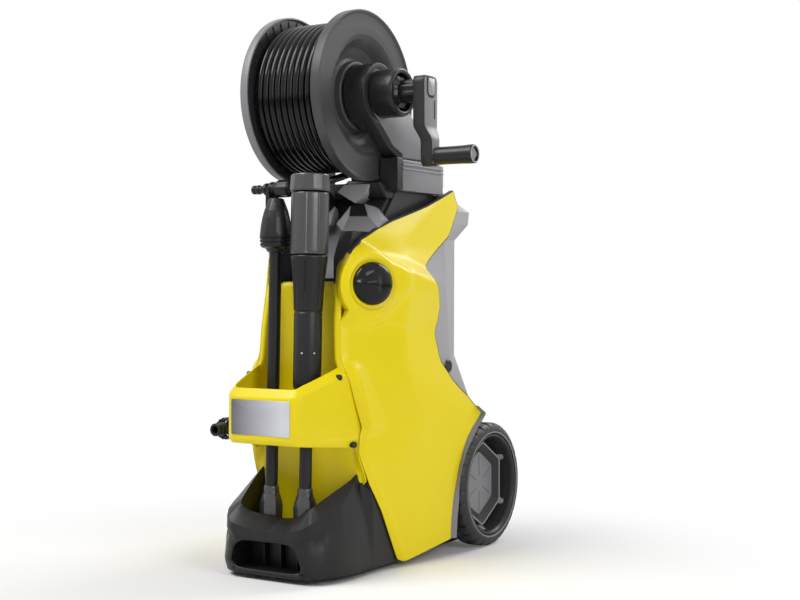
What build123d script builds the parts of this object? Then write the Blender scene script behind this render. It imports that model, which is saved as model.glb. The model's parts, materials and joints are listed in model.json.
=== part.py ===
from build123d import *
import math
import os

os.makedirs("parts", exist_ok=True)

# A tower pressure washer with a hose reel on top. Frame: X to the machine's right, Y to its back,
# Z up, origin on the floor under the middle of the lance channel. All values in millimetres.

# ---------------------------------------------------------------- driving dimensions
wall = 3.0                      # moulded shell thickness
seam = 0.5                      # gap between neighbouring covers
running_fit = 0.05              # radial clearance of a turning fit
soft_gap = 0.3                  # clearance of rubber and hose from what they lie on

# wheels
wheel_radius = 95.0
wheel_y = 291.0
wheel_outer_x = 141.0
tyre_width = 42.0
tyre_thickness = 8.0
axle_radius = 5.0
arch_gap = 6.0                  # wheel arch clearance round the tyre
liner_band = 10.0               # grey band between the arch and the side panel

# reel
reel_y = 77.0
reel_z = 677.0
reel_left = -93.0               # outer face of the left flange
flange_radius = 124.0
flange_rim = 15.0               # width of the flange rim along the axis
dish_radius = 85.0              # recess in the flange's outer face
drum_radius = 99.0
hose_diameter = 10.5
hose_turns = 10
hose_side_gap = 3.5             # between the wound hose and each flange
spindle_radius = 14.0
hub_radius = 50.0
arm_gap = 4.0                   # between a flange's outer face and the yoke arm
arm_width = 19.0
bearing_radius = 46.0
cap_radius = 35.0
cap_length = 38.0

# crank
crank_throw = 94.0
crank_bar_thickness = 19.0
crank_bar_width = 40.0
crank_foot_thickness = 16.0
crank_foot_width = 24.0
crank_offset = 8.0              # outward step of the lower half of the bar's outer face
grip_radius = 13.5
grip_length = 63.0
grip_pin_radius = 5.0

# body outline
front_half_top = 71.0           # half width of the lance channel's mouth at its top
front_half_low = 93.0
front_y_top = -30.0
front_y_low = -19.0
cover_top_z = 405.0
base_z = 7.0                    # underside of the chassis above the floor
bumper_half_width = 97.0
bumper_front_y = -105.0
bumper_top_z = 141.0
rear_half = 76.0
rear_y = 288.0

# switch knob on the oblique front of the right panel
knob_x = 95.0
knob_y = 12.7
knob_z = 404.0
knob_radius = 30.0
knob_azimuth = 60.0             # from straight ahead towards the machine's right
ring_radius = 46.5
knob_depth = 22.0
knob_shaft_radius = 5.0

# lances
lance_x = 29.0
lance_top_y = -40.0
lance_top_z = 460.0
lance_foot_y = -51.0
lance_foot_z = 82.0
lance_tube_radius = 8.75
nozzle_radius = 23.0
nozzle_length = 66.0
sleeve_radius = 26.5
lower_sleeve_radius = 19.5
cap_top_radius = 29.0
fitting_radius = 15.5
fitting_length = 42.0

# water inlet and hose plug
inlet_x = -118.0
inlet_y = 12.0
inlet_z = 196.0
elbow_radius = 11.0
inlet_radius = 8.75
plug_y = 2.0
plug_z = 541.0
plug_right = -31.0

deck_gap = 12.0                 # between the flanges' lowest point and the deck's top
deck_top_z = reel_z - flange_radius - deck_gap
rear_top_z = deck_top_z + 4.0

reel_width = 2 * flange_rim + hose_turns * hose_diameter + 2 * hose_side_gap
reel_right = reel_left + reel_width
hose_radius = hose_diameter / 2
wound_radius = drum_radius + soft_gap + hose_diameter


# ---------------------------------------------------------------- helpers
def save(shape, name):
    """Write one sub-part to its own STEP file."""
    export_step(shape, "parts/" + name + ".step")


def cylinder(radius, start, end):
    """A solid cylinder between two points."""
    axis = Vector(*end) - Vector(*start)
    plane = Plane(origin=start, z_dir=axis)
    return plane * Cylinder(radius, axis.length, align=(Align.CENTER, Align.CENTER, Align.MIN))


def cone(radius_a, radius_b, start, end):
    """A solid cone frustum between two points."""
    axis = Vector(*end) - Vector(*start)
    plane = Plane(origin=start, z_dir=axis)
    return plane * Cone(radius_a, radius_b, axis.length, align=(Align.CENTER, Align.CENTER, Align.MIN))


def tube(outer, inner, start, end):
    """A round tube between two points."""
    return cylinder(outer, start, end) - cylinder(inner, start, end)


def block(low, high):
    """A box between its lowest and highest corners."""
    size = [high[i] - low[i] for i in range(3)]
    centre = [(high[i] + low[i]) / 2 for i in range(3)]
    return Pos(*centre) * Box(*size)


def prism_x(outline, x_low, x_high):
    """A plate along X whose side view is a closed outline of (y, z) points."""
    face = make_face(Polyline(*[(x_low, y, z) for y, z in outline], close=True))
    return extrude(face, amount=x_high - x_low, dir=(1, 0, 0))


def prism_z(outline, z_low, z_high):
    """A plate along Z whose plan is a closed outline of (x, y) points."""
    face = make_face(Polyline(*[(x, y, z_low) for x, y in outline], close=True))
    return extrude(face, amount=z_high - z_low, dir=(0, 0, 1))


def turned_x(profile, y, z):
    """A solid of revolution about an X axis at (y, z) from (x, radius) points."""
    face = make_face(Polyline(*[(x, y, z + r) for x, r in profile], close=True))
    return revolve(face, axis=Axis((0, y, z), (1, 0, 0)))


def loft_z(sections):
    """A ruled body through closed outlines, given as (z, [(x, y), ...])."""
    wires = []
    for z, outline in sections:
        wires.append(Polyline(*[(x, y, z) for x, y in outline], close=True))
    faces = [make_face(wire) for wire in wires]
    return loft(faces, ruled=True)


def mirrored(shape):
    """The same piece on the machine's other side."""
    return mirror(shape, about=Plane.YZ)


def blend(value_a, value_b, share):
    """A value between two others."""
    return value_a + (value_b - value_a) * share


def at_height(table, z):
    """Interpolate a (z, value) table."""
    for (z_a, value_a), (z_b, value_b) in zip(table, table[1:]):
        if z <= z_b:
            return blend(value_a, value_b, (z - z_a) / (z_b - z_a))
    return table[-1][1]


# ---------------------------------------------------------------- body outline by height
tyre_inner_x = wheel_outer_x - tyre_width
arch_radius = wheel_radius + arch_gap
lip_x = wheel_outer_x - 9.0     # the wheel arch's lip stands just inside the wheel's outer face
channel_half = 48.0             # half width of the channel's floor at its top
channel_half_low = 79.0
channel_depth = 28.0
channel_depth_low = 22.0

front_x = [(base_z, front_half_low), (bumper_top_z, front_half_low), (cover_top_z, front_half_top),
           (465.0, 74.0), (rear_top_z + 8, 70.0)]
front_y = [(base_z, front_y_low), (bumper_top_z, front_y_low), (cover_top_z, front_y_top),
           (465.0, 4.0), (rear_top_z + 8, 200.0)]
side_x = [(base_z, 101.0), (bumper_top_z, 106.0), (300.0, 112.0), (cover_top_z, 112.0), (465.0, 96.0),
          (rear_top_z + 8, 84.0)]
side_y = [(base_z, 60.0), (bumper_top_z, 45.0), (300.0, 50.0), (cover_top_z, 58.0), (465.0, 70.0),
          (rear_top_z + 8, 240.0)]
flank_x = [(base_z, lip_x - 6), (bumper_top_z, lip_x), (205.0, lip_x), (300.0, 110.0), (cover_top_z, 104.0),
           (465.0, 94.0), (rear_top_z + 8, 78.0)]
flank_y = [(base_z, 190.0), (bumper_top_z, 235.0), (205.0, 272.0), (300.0, 240.0), (rear_top_z + 8, 290.0)]
levels = [base_z, bumper_top_z, 205.0, 300.0, cover_top_z, 465.0, rear_top_z + 8]


def panel_section(z):
    """Plan of the right panel at height z: front edge, knee, rear flank, and back along the inside."""
    outer = [(at_height(front_x, z), at_height(front_y, z)),
             (at_height(side_x, z), at_height(side_y, z)),
             (at_height(flank_x, z), at_height(flank_y, z))]
    inner = [(outer[2][0] - wall, outer[2][1]),
             (outer[1][0] - wall, outer[1][1] + wall / 2),
             (outer[0][0] - 0.3 * wall, outer[0][1] + 1.2 * wall)]
    return outer + inner


# ---------------------------------------------------------------- side panels
# Side view of the yellow panel, anticlockwise from the bumper's lower end.
chord_sag = 0.8                 # how far a chord of the arch outline dips inside its circle
panel_arch = arch_radius + liner_band + seam + chord_sag
arch_edge = [(wheel_y + panel_arch * math.cos(math.radians(angle)),
              wheel_radius + panel_arch * math.sin(math.radians(angle))) for angle in range(180, 101, -13)]
rear_edge = [
    (253.0, 221.0), (229.0, 241.0), (200.0, 264.0), (180.0, 291.0), (168.0, 315.0), (166.0, 332.0),
    (180.0, 352.0), (187.0, 372.0), (183.0, 396.0), (170.0, 416.0), (157.0, 430.0), (175.0, 449.0),
    (215.0, 466.0), (249.0, 485.0), (270.0, 503.0), (282.0, 521.0), (273.0, 549.0)]
top_edge = [(70.0, 489.0), (8.0, 462.0), (-14.0, 440.0), (-40.0, 424.0), (-60.0, cover_top_z - 5)]
bumper_edge = [(-60.0, bumper_top_z), (front_y_low + 2, bumper_top_z), (14.0, 121.0), (90.0, base_z)]
panel_outline = bumper_edge + [(arch_edge[0][0] - 2, 26.0)] + arch_edge + rear_edge + top_edge

panel_sheet = loft_z([(z, panel_section(z)) for z in levels])
panel_right = panel_sheet & prism_x(panel_outline, 40, 160)

azimuth = math.radians(knob_azimuth)
knob_axis = Vector(math.sin(azimuth), -math.cos(azimuth), 0)
knob_seat = Vector(knob_x, knob_y, knob_z)


def on_knob_axis(distance):
    """A point on the switch's axis, measured outwards from the panel's face."""
    return tuple(knob_seat + knob_axis * distance)


knob_bore = knob_shaft_radius + 2.0
boss_depth = 6.0
switch_neck = 10.0
ring_boss = cylinder(ring_radius, on_knob_axis(-boss_depth), on_knob_axis(6))
ring_boss -= cylinder(knob_radius + 1.0, on_knob_axis(1), on_knob_axis(10))
ring_boss &= block((front_half_top + 0.8, -200, 0), (200, 200, 600))
ring_hole = cylinder(knob_bore, on_knob_axis(-60), on_knob_axis(10))
panel_left = mirrored(panel_right)
panel_left -= cylinder(elbow_radius + seam, (-160, inlet_y, inlet_z), (-60, inlet_y, inlet_z))
panel_right -= cylinder(switch_neck + seam, on_knob_axis(-60), on_knob_axis(-boss_depth))
panel_right = panel_right + ring_boss - ring_hole
save(panel_right, "side_panel_right")
save(panel_left, "side_panel_left")

# ---------------------------------------------------------------- front cover with the lance channel
cover_edge = 1.6                # the cover's edge stays this far inside the panel's front edge


def cover_front(z):
    """Plan of the front cover's outside: a channel between the two side panels."""
    half = at_height(front_x, z) - cover_edge
    front = at_height(front_y, z)
    share = max(0.0, (z - bumper_top_z) / (cover_top_z - bumper_top_z))
    floor_half = blend(channel_half_low, channel_half, share)
    depth = blend(channel_depth_low, channel_depth, share)
    return [(-half, front), (-floor_half, front + depth), (floor_half, front + depth), (half, front)]


def cover_section(z):
    """Plan of the front cover at height z, as a closed sheet one wall thick."""
    outer = cover_front(z)
    (edge_x, edge_y), (floor_x, floor_y) = outer[:2]
    run, rise = floor_x - edge_x, floor_y - edge_y
    back = wall * math.hypot(run, rise) / run
    knee_x = edge_x + run * (rise + wall - back) / rise
    inner = [(-edge_x, edge_y + back), (-knee_x, floor_y + wall), (knee_x, floor_y + wall),
             (edge_x, edge_y + back)]
    return outer + inner


cover_foot_z = 62.0
save(loft_z([(z, cover_section(z)) for z in (cover_foot_z, bumper_top_z, 300.0, cover_top_z)]), "front_cover")

# ---------------------------------------------------------------- lance band and badge plate
band_front_y = -113.0
band_front_half = 60.0
band_low_z = 176.0
band_high_z = 290.0
band_wall = 4.0


def band_section(z):
    """Plan of the lance band: a strap standing out in front of the cover."""
    half = at_height(front_x, z) - 0.5
    back = at_height(front_y, z) - seam
    outer = [(-half, back), (-band_front_half, band_front_y), (band_front_half, band_front_y), (half, back)]
    slope = band_wall * 1.05
    inner = [(half - slope, back), (band_front_half - slope, band_front_y + band_wall),
             (slope - band_front_half, band_front_y + band_wall), (slope - half, back)]
    return outer + inner


band_sheet = loft_z([(z, band_section(z)) for z in (band_low_z, 205.0, band_high_z)])
band_side = [(-120, 186), (-60, 182), (-10, band_low_z), (-10, band_high_z - 4), (-34, band_high_z),
             (-100, 266), (-120, 265)]
save(band_sheet & prism_x(band_side, -110, 110), "front_band")
badge_half = 49.0
badge_low_z = 198.0
badge_high_z = 247.0
badge_thickness = 1.5
badge = block((-badge_half, band_front_y - badge_thickness, badge_low_z),
              (badge_half, band_front_y, badge_high_z))
save(badge, "badge_plate")

# ---------------------------------------------------------------- bumper with lance tray and grip opening
tray_floor_z = 62.0
tray_front_y = -78.0
grip_opening_half = 56.0
grip_opening_low_z = 16.0
grip_opening_high_z = 53.0
grip_opening_back_y = -46.0
cup_depth = 14.0
bumper_wall = 4.0

wing_tip_y = 1.0                # each wing's tip stands this deep in the lance channel
wing_tip_x = 80.0
bumper_nose = [(bumper_front_y + 8, base_z), (bumper_front_y, 40), (bumper_front_y + 6, 67), (-62, 85)]
bumper_side = bumper_nose + [(front_y_low - seam, bumper_top_z), (13.5 - seam, 120.5), (89.5 - seam, base_z)]
wing_side = bumper_nose + [(wing_tip_y, bumper_top_z), (wing_tip_y, base_z)]
bumper_plan = [(102, 92), (bumper_half_width, -55), (84, -82), (58, bumper_front_y), (-58, bumper_front_y),
               (-84, -82), (-bumper_half_width, -55), (-102, 92)]
tray_plan = [(-wing_tip_x, front_y_low), (-77, -56), (-60, tray_front_y), (60, tray_front_y), (77, -56),
             (wing_tip_x, front_y_low), (wing_tip_x, 50), (-wing_tip_x, 50)]
bumper = prism_x(bumper_side, -110, 110)
bumper -= block((-front_half_low, front_y_low - 1, 0), (front_half_low, 100, 200))
bumper += prism_x(wing_side, -front_half_low, front_half_low)
bumper &= prism_z(bumper_plan, 0, 200)
bumper -= prism_z(tray_plan, tray_floor_z, 200)
bumper -= block((-grip_opening_half, bumper_front_y - 5, grip_opening_low_z),
                (grip_opening_half, grip_opening_back_y, grip_opening_high_z))
bumper -= prism_z([(-92, 100), (-90, -40), (90, -40), (92, 100)], 0, tray_floor_z - bumper_wall)
cover_room = [(x, y - seam) for x, y in cover_front(bumper_top_z)]
cover_room = [(-front_half_low, 50), (-front_half_low, cover_room[0][1])] + cover_room
cover_room += [(front_half_low, cover_room[-1][1]), (front_half_low, 50)]
bumper -= prism_z(cover_room, tray_floor_z - seam, 200)

lance_axis = Vector(0, lance_top_y - lance_foot_y, lance_top_z - lance_foot_z).normalized()


def lance_point(side, distance):
    """A point on a lance's axis, measured up from its foot."""
    foot = Vector(side * lance_x, lance_foot_y, lance_foot_z)
    return tuple(foot + lance_axis * distance)


for side in (-1, 1):
    bumper += cylinder(fitting_radius + 5, lance_point(side, -cup_depth - 12), lance_point(side, 3))
for side in (-1, 1):
    bumper -= cylinder(fitting_radius + 1, lance_point(side, -cup_depth), lance_point(side, 20))
bumper -= block((-grip_opening_half, bumper_front_y - 5, grip_opening_low_z),
                (grip_opening_half, grip_opening_back_y, grip_opening_high_z))
save(bumper, "front_bumper")

# ---------------------------------------------------------------- chassis, feet and axle
carrier_inner = 56.0
carrier_outer = 69.0
base_plate_top = base_z + 5.0
wheel_z = wheel_radius
chassis = prism_z([(-80, -36), (80, -36), (88, 80), (88, 300), (-88, 300), (-88, 80)], base_z, base_plate_top)
carrier_side = [(wheel_y - 50, base_plate_top - 1), (wheel_y + 9, base_plate_top - 1),
                (wheel_y + 20, wheel_z), (wheel_y + 8, wheel_z + 18), (wheel_y - 12, wheel_z + 18)]
for side in (-1, 1):
    edges = sorted((side * carrier_inner, side * carrier_outer))
    chassis += prism_x(carrier_side, *edges)
    chassis += block((side * 60 - 4, -30, base_z), (side * 60 + 4, 230, base_plate_top + 14))
chassis -= cylinder(axle_radius + running_fit, (-150, wheel_y, wheel_z), (150, wheel_y, wheel_z))
save(chassis, "chassis_base")

foot_radius = 11.0
feet = [cylinder(foot_radius, (side * 62, -22, 0), (side * 62, -22, base_z)) for side in (-1, 1)]
save(Compound(feet), "front_feet")

axle_end_x = wheel_outer_x - 12.0
save(cylinder(axle_radius, (-axle_end_x, wheel_y, wheel_z), (axle_end_x, wheel_y, wheel_z)), "wheel_axle")

clip_thickness = 1.5
hub_bore = axle_radius + running_fit
clips = []
for side in (-1, 1):
    inner_face = side * (axle_end_x - 6)
    clips.append(tube(axle_radius + 5, axle_radius, (inner_face, wheel_y, wheel_z),
                      (inner_face + side * clip_thickness, wheel_y, wheel_z)))
save(Compound(clips), "axle_clips")

# ---------------------------------------------------------------- wheels
rim_radius = wheel_radius - tyre_thickness
wheel_hub_radius = 20.0
rim_step = 14.0                 # the disc's recess starts this far inside its rim
cover_gap = 7.0                 # between that recess's edge and the hub cover's corners
cover_radius = rim_radius - rim_step - cover_gap


def wheel_disc():
    """Spoked plastic wheel body on the right side, seen from outside as a dished ring."""
    outer = wheel_outer_x - 3
    web = wheel_outer_x - 26
    hub_outer = axle_end_x - 6.5
    profile = [(tyre_inner_x + 2, rim_radius), (outer, rim_radius), (outer, rim_radius - 8),
               (web + 6, rim_radius - rim_step), (web + 6, wheel_hub_radius), (hub_outer, wheel_hub_radius),
               (hub_outer, hub_bore), (tyre_inner_x - 6, hub_bore), (tyre_inner_x - 6, wheel_hub_radius),
               (web, wheel_hub_radius), (web, rim_radius - 6), (tyre_inner_x + 2, rim_radius - 6)]
    return turned_x(profile, wheel_y, wheel_z)


def wheel_tyre():
    """Rubber tread ring with bevelled shoulders and notched blocks."""
    bevel = 4.0
    profile = [(tyre_inner_x, rim_radius), (tyre_inner_x, wheel_radius - bevel),
               (tyre_inner_x + bevel, wheel_radius), (wheel_outer_x - bevel, wheel_radius),
               (wheel_outer_x, wheel_radius - bevel), (wheel_outer_x, rim_radius)]
    return turned_x(profile, wheel_y, wheel_z)


def hub_cover():
    """Six-sided dished cover clipped over the wheel's hub."""
    outer = wheel_outer_x - 2
    inner = outer - 3
    plate = Plane(origin=(inner, wheel_y, wheel_z), x_dir=(0, 1, 0), z_dir=(1, 0, 0))
    hexagon = plate * extrude(RegularPolygon(cover_radius, 6), amount=3)
    legs = tube(30, 27, (wheel_outer_x - 20 + soft_gap, wheel_y, wheel_z), (inner, wheel_y, wheel_z))
    return hexagon + legs


for side, word in ((1, "right"), (-1, "left")):
    for make, name in ((wheel_disc, "wheel_disc_"), (wheel_tyre, "tyre_"), (hub_cover, "hub_cover_")):
        piece = make()
        save(piece if side == 1 else mirrored(piece), name + word)

# ---------------------------------------------------------------- grey rear shell
well_x = tyre_inner_x - 8.0
bulge_low_z = rear_top_z - 45.0
bulge_high_z = rear_top_z - 25.0
rear_levels = [27.0, 205.0, 228.0, 294.0, cover_top_z, 473.0, bulge_low_z, bulge_high_z, rear_top_z]
rear_side_x = [(27.0, well_x), (228.0, well_x), (294.0, 102.0), (cover_top_z, 103.0), (473.0, 88.0),
               (rear_top_z, 74.0)]
rear_side_y = [(27.0, 150.0), (473.0, 150.0), (bulge_low_z, 190.0), (rear_top_z, 245.0)]
rear_bend_x = [(27.0, well_x), (228.0, well_x), (294.0, 94.0), (473.0, 86.0), (rear_top_z, 70.0)]
rear_bend_y = [(27.0, 240.0), (473.0, 235.0), (bulge_low_z, 270.0), (bulge_high_z, 290.0),
               (rear_top_z, 265.0)]
rear_corner_x = [(27.0, rear_half - 4), (473.0, rear_half - 2), (bulge_high_z, rear_half - 6),
                 (rear_top_z, 60.0)]
rear_corner_y = [(27.0, 322.0), (205.0, rear_y + 54), (228.0, rear_y + 46), (294.0, rear_y), (473.0, rear_y),
                 (bulge_low_z, rear_y + 48), (bulge_high_z, rear_y + 55), (rear_top_z, rear_y - 4)]


def rear_section(z):
    """Plan of the rear shell: a tray open to the front."""
    half = [(at_height(rear_side_x, z), at_height(rear_side_y, z)),
            (at_height(rear_bend_x, z), at_height(rear_bend_y, z)),
            (at_height(rear_corner_x, z), at_height(rear_corner_y, z))]
    inset = [(half[0][0] - wall, half[0][1]), (half[1][0] - wall, half[1][1] - wall),
             (half[2][0] - wall, half[2][1] - wall)]
    outer = half + [(-x, y) for x, y in reversed(half)]
    inner = [(-x, y) for x, y in inset] + list(reversed(inset))
    return outer + inner


rear_shell = loft_z([(z, rear_section(z)) for z in rear_levels])
axle_hole = axle_radius + 1.0
rear_shell -= cylinder(axle_hole, (-150, wheel_y, wheel_z), (150, wheel_y, wheel_z))
gland_z = 150.0
gland_radius = 9.0
gland_y = at_height(rear_corner_y, gland_z)
rear_shell -= cylinder(gland_radius, (0, gland_y - 20, gland_z), (0, gland_y + 20, gland_z))
save(rear_shell, "rear_shell")

# Arch liner: a grey band round the front of each wheel between the panel and the rear shell.
liner_outer = arch_radius + liner_band
liner_outer_x = lip_x - 2


def arch_liner():
    """Quarter ring hugging the wheel from its front foot to above the tyre."""
    inner_x = well_x + seam
    ring = tube(liner_outer, arch_radius, (inner_x, wheel_y, wheel_z), (liner_outer_x, wheel_y, wheel_z))
    sector = prism_x([(wheel_y, wheel_z), (wheel_y - 160, 28), (wheel_y - 160, 260), (wheel_y - 18, 260)],
                     well_x - 10, wheel_outer_x)
    foot = block((inner_x, wheel_y - liner_outer, 28), (liner_outer_x - 3, wheel_y - arch_radius, wheel_z))
    return (ring & sector) + foot


liner = arch_liner()
liner -= block((0, wheel_y - arch_radius, 0), (200, wheel_y + 50, 40))
liner_cut = cylinder(arch_radius, (well_x - 20, wheel_y, wheel_z), (wheel_outer_x, wheel_y, wheel_z))
liner -= liner_cut
save(Compound([liner, mirrored(liner)]), "arch_liners")

# ---------------------------------------------------------------- deck under the reel
deck_half = 67.0
deck_outer = [(24, cover_top_z + seam), (24, 415), (126, deck_top_z), (250, deck_top_z), (250, 480),
              (232, 470), (232, cover_top_z + seam)]
deck_inner = [(28, cover_top_z - 5), (28, 414), (128, deck_top_z - wall), (247, deck_top_z - wall),
              (247, 482), (229, 472), (229, cover_top_z - 5)]
deck = prism_x(deck_outer, -deck_half, deck_half)
deck -= prism_x(deck_inner, wall - deck_half, deck_half - wall)
pillar_top_z = 478.0
for side in (-1, 1):
    edges = sorted((side * 46, side * deck_half))
    pillar = prism_x([(-6, cover_top_z + seam), (-6, 440), (12, pillar_top_z), (78, pillar_top_z), (24, 415),
                      (24, cover_top_z + seam)], *edges)
    deck += pillar
save(deck, "reel_deck")

# ---------------------------------------------------------------- reel yoke
spindle_bore = spindle_radius + running_fit
arm_inner_right = reel_right + arm_gap
arm_outer_right = arm_inner_right + arm_width
arm_outer_left = reel_left - arm_gap
arm_inner_left = arm_outer_left - arm_width
hub_depth = 27.0                # the hub plate lies this deep in the flange's dish
hub_plate_x = reel_right - hub_depth
collar_end_x = hub_plate_x + 12.0
arm_head = (reel_y, reel_z)


def arm_z(share):
    """A height on the yoke arms: 0 at the deck, 1 at the reel's axis."""
    return blend(deck_top_z, reel_z, share)


arm_front = [(118, deck_top_z), (129, arm_z(0.14)), (129, arm_z(0.287)), (120, arm_z(0.375)),
             (96, arm_z(0.463)), (76, arm_z(0.596)), (52, arm_z(0.728)), (32, arm_z(0.926))]
arm_back = [(reel_y, reel_z + bearing_radius - 1), (reel_y + bearing_radius, reel_z + 12),
            (170, arm_z(0.8)), (222, arm_z(0.448))]
arm_outline = arm_front + arm_back
box_top_z = arm_z(0.33)
box_back_y = 239.0
arm_seat = 14.0                 # the right arm's foot stands this far in from the deck's edge
seat_height = 8.0
yoke_right = prism_x(arm_outline + [(box_back_y, box_top_z), (box_back_y, deck_top_z)],
                     arm_inner_right, arm_outer_right)
yoke_right += block((arm_inner_right, 122, deck_top_z), (arm_outer_right + 10, box_back_y - 2, box_top_z - 4))
yoke_right += block((deck_half - arm_seat, 122, deck_top_z),
                    (arm_inner_right + 1, box_back_y - 2, deck_top_z + seat_height))
yoke_right += cylinder(bearing_radius, (collar_end_x + 2, *arm_head), (arm_outer_right, *arm_head))
yoke_right -= cylinder(spindle_bore, (0, *arm_head), (150, *arm_head))
save(yoke_right, "yoke_arm_right")

yoke_left = prism_x(arm_outline + [(208, arm_z(0.36)), (205, deck_top_z)], arm_inner_left, arm_outer_left)
yoke_left += block((arm_inner_left, 118, deck_top_z - 10), (-deck_half, 203, deck_top_z))
yoke_left -= cylinder(spindle_bore, (-150, *arm_head), (0, *arm_head))
save(yoke_left, "yoke_arm_left")

cap_end_x = arm_outer_right + cap_length
socket_radius = 26.0
cap = tube(cap_radius, socket_radius, (arm_outer_right, *arm_head), (cap_end_x, *arm_head))
cap += tube(cap_radius, spindle_bore, (arm_outer_right, *arm_head), (arm_outer_right + 4, *arm_head))
save(cap, "bearing_cap")

# ---------------------------------------------------------------- reel
flange_shell = wall
inner_web_x = reel_right - flange_rim
flange_profile = [
    (hub_plate_x, spindle_radius), (hub_plate_x, hub_radius - 6), (collar_end_x, hub_radius - 6),
    (collar_end_x, hub_radius), (hub_plate_x, hub_radius), (hub_plate_x, hub_radius + 8),
    (reel_right, dish_radius), (reel_right, flange_radius), (inner_web_x, flange_radius),
    (inner_web_x, drum_radius), (inner_web_x + flange_shell, drum_radius),
    (inner_web_x + flange_shell, flange_radius - flange_shell),
    (reel_right - flange_shell, flange_radius - flange_shell),
    (reel_right - flange_shell, dish_radius + 1.5), (hub_plate_x - flange_shell, hub_radius + 10),
    (hub_plate_x - flange_shell, spindle_radius)]
save(turned_x(flange_profile, *arm_head), "reel_flange_right")
reel_middle = (reel_left + reel_right) / 2
left_profile = [(2 * reel_middle - x, r) for x, r in flange_profile]
save(turned_x(left_profile, *arm_head), "reel_flange_left")

drum = tube(drum_radius, drum_radius - flange_shell, (reel_left + flange_shell, *arm_head),
            (reel_right - flange_shell, *arm_head))
save(drum, "reel_drum")

wound_left_x = reel_left + flange_rim + hose_side_gap
wound_right_x = wound_left_x + hose_turns * hose_diameter
wound = tube(wound_radius, drum_radius + soft_gap, (wound_left_x, *arm_head), (wound_right_x, *arm_head))
save(wound, "hose_winding")

spindle_left_x = arm_inner_left - 8.0
spindle_right_x = cap_end_x - 10.0
save(cylinder(spindle_radius, (spindle_left_x, *arm_head), (spindle_right_x, *arm_head)), "reel_spindle")

# Water swivel on the spindle's left end, with a port that points back and down.
swivel_gap = 1.0
swivel_end_x = spindle_left_x - 14.0
swivel_radius = 19.0
port_radius = 8.0
port_length = 32.0
port_end = (swivel_end_x + 9, reel_y + 0.6 * port_length, reel_z - 0.8 * port_length)
swivel = cylinder(swivel_radius, (swivel_end_x, *arm_head), (arm_inner_left, *arm_head))
swivel += cylinder(port_radius, (swivel_end_x + 9, *arm_head), port_end)
swivel -= cylinder(spindle_radius + swivel_gap, (spindle_left_x - swivel_gap, *arm_head),
                   (arm_inner_left, *arm_head))
save(swivel, "reel_swivel")

# ---------------------------------------------------------------- crank
hub_end_x = cap_end_x + 26.0
crank_hub = cylinder(17.0, (spindle_right_x, *arm_head), (hub_end_x, *arm_head))
crank_hub += cylinder(socket_radius - 2, (spindle_right_x, *arm_head), (spindle_right_x + 6, *arm_head))
save(crank_hub, "crank_hub")

bar_outer_x = hub_end_x + crank_bar_thickness
foot_outer_x = bar_outer_x + crank_offset
foot_inner_x = foot_outer_x - crank_foot_thickness
grip_z = reel_z - crank_throw
bar_top_z = reel_z + 19.0
bend_high_z = reel_z - 50.0
bend_low_z = reel_z - 73.0
bar_low_z = grip_z - 14.0
bar_profile = [(hub_end_x, bar_top_z), (bar_outer_x, bar_top_z), (bar_outer_x, bend_high_z),
               (foot_outer_x, bend_low_z), (foot_outer_x, bar_low_z), (foot_inner_x, bar_low_z),
               (foot_inner_x, bend_low_z), (hub_end_x, bend_high_z)]
bar_face = make_face(Polyline(*[(x, reel_y - crank_bar_width, z) for x, z in bar_profile], close=True))
head_half = crank_bar_width / 2
foot_half = crank_foot_width / 2
bar_front = [(head_half - 5, bar_top_z), (head_half, bar_top_z - 7), (head_half - 2, bend_high_z),
             (foot_half, bend_low_z), (foot_half, grip_z), (foot_half - 5, bar_low_z)]
bar_outline = [(reel_y + y, z) for y, z in bar_front] + [(reel_y - y, z) for y, z in reversed(bar_front)]
crank_arm = extrude(bar_face, amount=2 * crank_bar_width, dir=(0, 1, 0))
crank_arm &= prism_x(bar_outline, hub_end_x - 1, foot_outer_x + 1)
latch_half = 15.0
latch_low_z = reel_z - 12.0
latch_depth = 5.0
latch_gap = 0.6
crank_arm -= block((bar_outer_x - latch_depth, reel_y - latch_half, latch_low_z),
                   (bar_outer_x + 1, reel_y + latch_half, bar_top_z + 1))
grip_hub = (reel_y, grip_z)
grip_end_x = foot_outer_x + grip_length
crank_arm += cylinder(grip_pin_radius, (foot_outer_x - 6, *grip_hub), (grip_end_x - 6, *grip_hub))
save(crank_arm, "crank_arm")
save(block((bar_outer_x - latch_depth + latch_gap, reel_y - latch_half + latch_gap, latch_low_z + latch_gap),
           (bar_outer_x + 0.5, reel_y + latch_half - latch_gap, bar_top_z)), "crank_latch")

grip_start = 2.5
grip = cone(grip_radius - 1, grip_radius, (foot_outer_x + grip_start, *grip_hub), (grip_end_x, *grip_hub))
grip -= cylinder(grip_pin_radius + running_fit, (foot_outer_x - 10, *grip_hub), (grip_end_x - 5, *grip_hub))
grip -= cylinder(grip_radius - 4, (grip_end_x - 3, *grip_hub), (grip_end_x + 3, *grip_hub))
save(grip, "crank_grip")

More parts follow.
